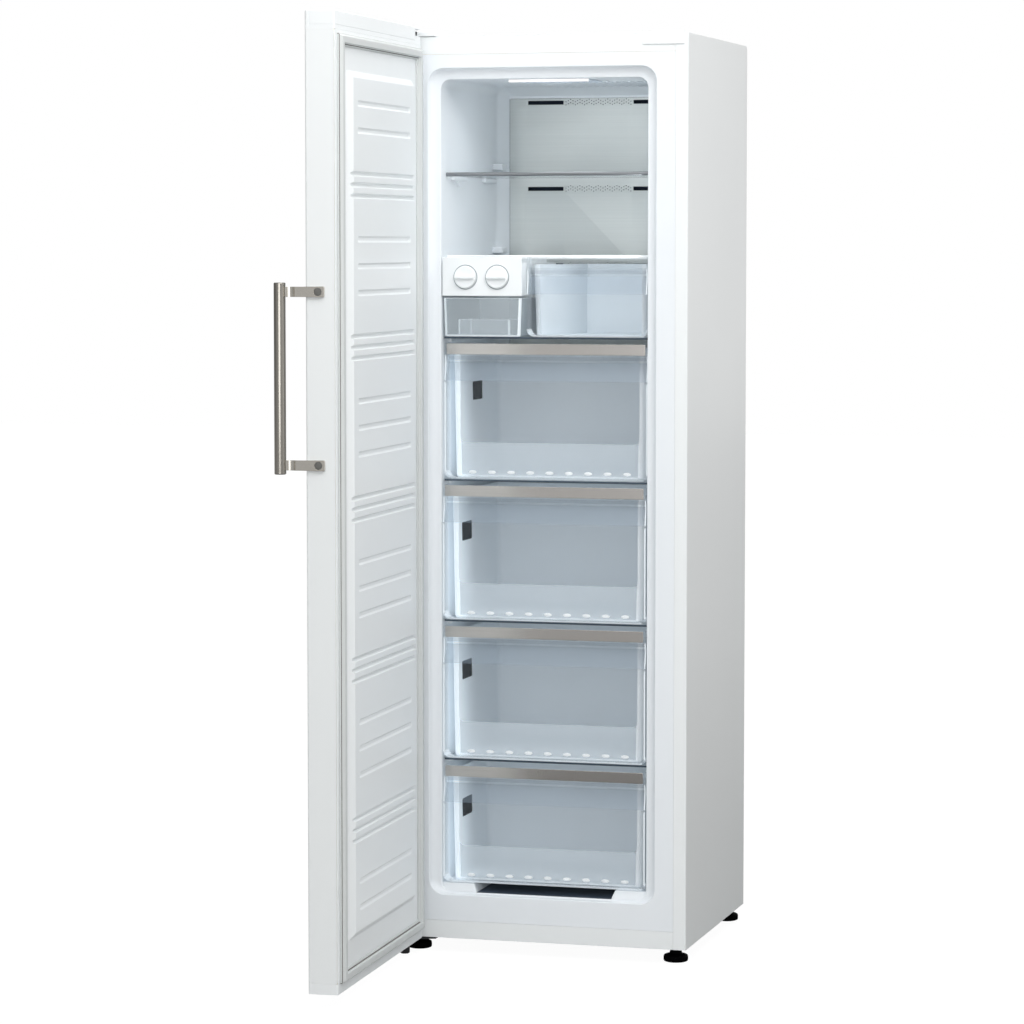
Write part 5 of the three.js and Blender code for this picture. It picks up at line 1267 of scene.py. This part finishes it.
left, right, outer, inner = 2.0, shell_x1 - 2, -69.5, -11.5
door_z0, door_z1 = span("door_bottom_cap")[4], span("door_top_cap")[5]
skin_z0, skin_z1 = span("door_skin")[4:]
edge_radius = 4
skin = slab("door_wrap", left, right, outer, inner - 2.02, skin_z0, skin_z1)
round_off(skin, edge_radius, 6, lambda m, spots, e: runs("Z", 100)(m, spots, e) and m.y < -60)
take_off(skin, lambda m, spots, f: f.normal.y > 0.9 or abs(f.normal.z) > 0.9)
thicken(skin, 1)
smooth(skin, 30)
swing(skin)
settle(skin, white_paint, "door", "white_paint", "door_skin")

rim_plate = slab("liner_rim", left + 1.3, right - 1.3, inner - 2, inner, door_z0 + 20.3, skin_z1)
round_off(rim_plate, edge_radius, 4, runs("Y", 1))
pad_x0, pad_x1 = left + 73, right - 73
pad_z0, pad_z1 = door_z0 + 90, door_z1 - 107
pad_top = inner + 10
middle_z = (pad_z0 + pad_z1) / 2 - 2
rib_spacing, rib_pitch, rib_depth, flute_pitch, flute_half = 302, 20.5, 4.6, 50, 6
pad_line = [(inner - 1, pad_z0, 0), (inner, pad_z0, 0), (pad_top, pad_z0 + 12, 5)]
for group in range(-2, 3):
    for rib in (-1, 0, 1):
        z = middle_z + group * rib_spacing + rib * rib_pitch
        pad_line += [
            (pad_top, z - 4.6, 1.6), (pad_top - rib_depth, z - 2.6, 1.8),
            (pad_top - rib_depth, z + 2.6, 1.8), (pad_top, z + 4.6, 1.6),
        ]
pad_line += [(pad_top, pad_z1 - 12, 5), (inner, pad_z1, 0), (inner - 1, pad_z1, 0)]
flutes = [
    middle_z + (bay + 0.5) * rib_spacing + flute * flute_pitch for bay in range(-3, 3) for flute in (-1, 0, 1)
]
flutes = [z for z in flutes if pad_z0 + 40 < z < pad_z1 - 40]
pad = drawn("liner_pad", "X", fillet(pad_line, 3), pad_x0 - 2, pad_x1 + 2)
for edge, way in ((pad_x0, -1), (pad_x1, 1)):
    open_up(pad)
    bpy.ops.mesh.select_all(action="SELECT")
    bpy.ops.mesh.bisect(
        plane_co=at(edge, inner, 0), plane_no=Vector((way * 10, 12, 0)).normalized(), use_fill=True,
        clear_outer=True,
    )
    close_up()
flute_x0, flute_x1 = pad_x0 + 40, pad_x1 - 40


def on_flute(spot, reach):
    """True on the pad's top within a reach of the middle of a flute."""
    return abs(spot.y - pad_top) < 0.05 and any(abs(spot.z - z) < reach for z in flutes)


for z in flutes:
    for level in (z - flute_half, z + flute_half):
        split(pad, at(0, 0, level), (0, 0, 1), lambda m, spots, f: (
            abs(m.y - pad_top) < 0.05 and abs(m.z - z) < 120))
for side in (flute_x0, flute_x1):
    split(pad, at(side, 0, 0), (1, 0, 0), lambda m, spots, f: on_flute(m, 3))
round_off(pad, 5, 4, lambda m, spots, v: (
    abs(m.y - pad_top) < 0.05 and any(abs(abs(m.z - z) - flute_half) < 0.1 for z in flutes)
    and min(abs(m.x - flute_x0), abs(m.x - flute_x1)) < 0.1
), "VERT")
inset(
    pad, 3.6, -2.2, lambda m, spots, f: on_flute(m, 2) and abs(m.x - (pad_x0 + pad_x1) / 2) < 5,
    use_individual=True,
)
ease(pad, 0.9, 2, 24, 32)
ease(rim_plate, 0.4, 2)
attach(rim_plate, pad)
swing(rim_plate)
door_liner_plastic = drift(
    "door_liner_plastic", (244, 247, 248), (240, 244, 246), patch=3.0, rough=0.38, spread=0.12, grain=200.0,
    depth=0.06, IOR=1.45,
)
settle(rim_plate, door_liner_plastic, "door", "liner_plastic", "door_liner")

seal_x0, seal_x1 = left + 14, right - 14
seal_z0, seal_z1 = door_z0 + 18.5, door_z1 - 42
seal_y0, seal_y1 = inner + 0.3, -1.0
seal_steps = [
    (0, seal_y0, 3), (0, seal_y0 + 3.5, 3), (2.2, seal_y0 + 4.2, 2.6), (2.8, seal_y1 - 3.4, 2.4),
    (4.2, seal_y1 - 2.2, 2.2), (5.0, seal_y1 - 0.4, 2), (6.4, seal_y1, 2), (15.6, seal_y1 - 0.04, 1.6),
    (17.0, seal_y1 - 0.4, 1.6), (17.6, seal_y1 - 3.4, 1.4), (19.0, seal_y1 - 3.9, 1.4),
    (20.0, seal_y0 + 3.5, 1.4), (23, seal_y0 + 2.5, 1.2), (23, seal_y0, 1.2), (1, seal_y0 - 0.04, 3),
]
seal = lofted("door_seal", "Y", [
    (seal_x0 + inset, seal_x1 - inset, seal_z0 + inset, seal_z1 - inset, radius, y)
    for inset, y, radius in seal_steps
], segments=4, caps=(False, False))
open_up(seal)
bpy.ops.mesh.select_all(action="SELECT")
bpy.ops.mesh.remove_doubles(threshold=0.000001)
close_outward()
smooth(seal, 50)
swing(seal)
gasket_grey = drift(
    "gasket_grey", (214, 217, 217), (206, 210, 210), patch=12.0, rough=0.6, grain=600.0, depth=0.2,
)
# Painted shade: a darker grey for the seal's shaded folds.
gasket_fold_shade = drift(
    "gasket_fold_shade", (112, 108, 104), (98, 95, 91), patch=12.0, rough=0.7, grain=600.0,
)
settle(seal, gasket_grey, "door", "gasket_grey", "door_gasket")


def in_shaded_fold(m, n):
    """True where the seal's folds get painted shade: its inner fold away from the hinge, and its outer one at
    the free edge.
    """
    spot = (door_swing.inverted() @ (m * 0.001 + at(0, 0, 0)) - at(0, 0, 0)) * 1000
    inset = min(spot.x - seal_x0, seal_x1 - spot.x, spot.z - seal_z0, seal_z1 - spot.z)
    return (19.2 < inset < 19.8 and spot.x > seal_x0 + 30) or 0.5 < seal_x1 - spot.x < 1.7


# Painted shade in the seal's folds.
paint(seal, gasket_fold_shade, in_shaded_fold)

pin_x, pin_y = 25.0, -41.5
cap = slab("top_cap", left, right, outer, inner, skin_z1 + 0.05, door_z1)
round_off(cap, edge_radius, 6, runs("Z", 10))
round_off(cap, 2.5, 4, lambda m, spots, e: all(abs(s.z - door_z1) < 0.1 for s in spots))
trim(cap, slab("hinge_room", left - 5, pin_x + 17, outer + 4, inner + 5, shell_z1 - 2, shell_z1 + 11))
groove_z, groove_y, groove_width, groove_depth = door_z1 - 26.5, outer + 7.5, 1.2, 0.9
for groove in (
    (right - groove_depth, right + 1, groove_y, groove_y + groove_width, groove_z, door_z1 + 1),
    (right - groove_depth, right + 1, groove_y, inner + 1, groove_z - groove_width, groove_z),
    (pin_x + 22, right + 1, inner - groove_depth, inner + 1, groove_z - groove_width, groove_z),
):
    trim(cap, slab("groove", *groove))
ease(cap, 0.4, 2, 40)
low_cap = slab("bottom_cap", left, right, outer, inner, door_z0, skin_z0 - 0.05)
round_off(low_cap, edge_radius, 6, runs("Z", 10))
ease(low_cap, 0.8, 3, 40)
trim(low_cap, rod("bush", at(pin_x, pin_y, 0), "Z", 5.4, door_z0 - 5, door_z0 + 18, 32))
smooth(low_cap, 35)
for piece, name in ((cap, "door_top_cap"), (low_cap, "door_bottom_cap")):
    swing(piece)
    settle(piece, white_plastic, "door", "white_plastic", name)


# ---- Handle ---------------------------------------------------------------------------------
# A tube of brushed stainless steel on two polished brackets screwed to the door's free edge.
# A necked block holds the tube on each bracket, and a dark plug hides each screw.
handle_steel = brushed(
    "handle_steel", (182, 178, 171), (142, 138, 130), (420.0, 420.0, 5.0), rough=0.22, spread=0.14,
    depth=0.16, Metallic=1.0, Anisotropic=0.4,
)
bracket_steel = brushed(
    "bracket_steel", (218, 214, 206), (200, 196, 187), (60.0, 60.0, 60.0), rough=0.2, depth=0.04,
    Metallic=1.0,
)
plug_plastic = drift("plug_plastic", (110, 110, 106), (92, 92, 90), patch=80.0, rough=0.45, grain=900.0)
bracket_x, bracket_wall = right + 0.3, 5
bar_x, bar_y, bar_radius = bracket_x + bracket_wall / 2, outer - 48.8, 11
bar_z0, bar_z1 = span("handle_bar")[4:]
ends = [(9.4, 0), (10.5, 0.5), (bar_radius, 1.6)]
grip_bar = turned("grip_bar", at(bar_x, bar_y, 0), "Z", [
    (0, bar_z0), *((radius, bar_z0 + rise) for radius, rise in ends),
    *((radius, bar_z1 - rise) for radius, rise in reversed(ends)), (0, bar_z1),
], 64)
smooth(grip_bar, 40)
swing(grip_bar)
settle(grip_bar, handle_steel, "door", "handle_steel", "handle_bar")
for where in ("upper", "lower"):
    z = sum(span(f"handle_bracket_{where}")[4:]) / 2
    neck_y, rear = outer - 4, outer + 37.4
    bracket = drawn(f"bracket_{where}", "X", fillet([
        (bar_y + 6, z - 9.4, 0), (neck_y, z - 9.5, 30), (rear, z - 10, 3),
        (rear, z + 10, 3), (neck_y, z + 9.5, 30), (bar_y + 6, z + 9.4, 0),
    ]), bracket_x, bracket_x + bracket_wall)
    screw = at(bracket_x + bracket_wall, outer + 25, z)
    waist = at(bracket_x + 15.5, bar_y + 21, 0)
    trim(bracket, rod("saddle", at(bar_x, bar_y, 0), "Z", bar_radius + 0.1, z - 30, z + 30, 64))
    trim(bracket, rod("waist", waist, "Z", 13.6, z - 30, z + 30, 96))
    trim(bracket, rod("pocket", screw, "X", 7.4, -1.5, 5, 48))
    ease(bracket, 0.7, 3, 40)
    swing(bracket)
    settle(bracket, bracket_steel, "door", "handle_steel", f"handle_bracket_{where}")
    plug = turned(f"screw_plug_{where}", screw, "X", [
        (0, -1.45), (6.6, -1.45), (6.9, -1.0), (6.9, -0.2), (6.3, 0.3), (0, 0.5),
    ])
    smooth(plug, 40)
    swing(plug)
    settle(plug, plug_plastic, "door", "black_plastic")
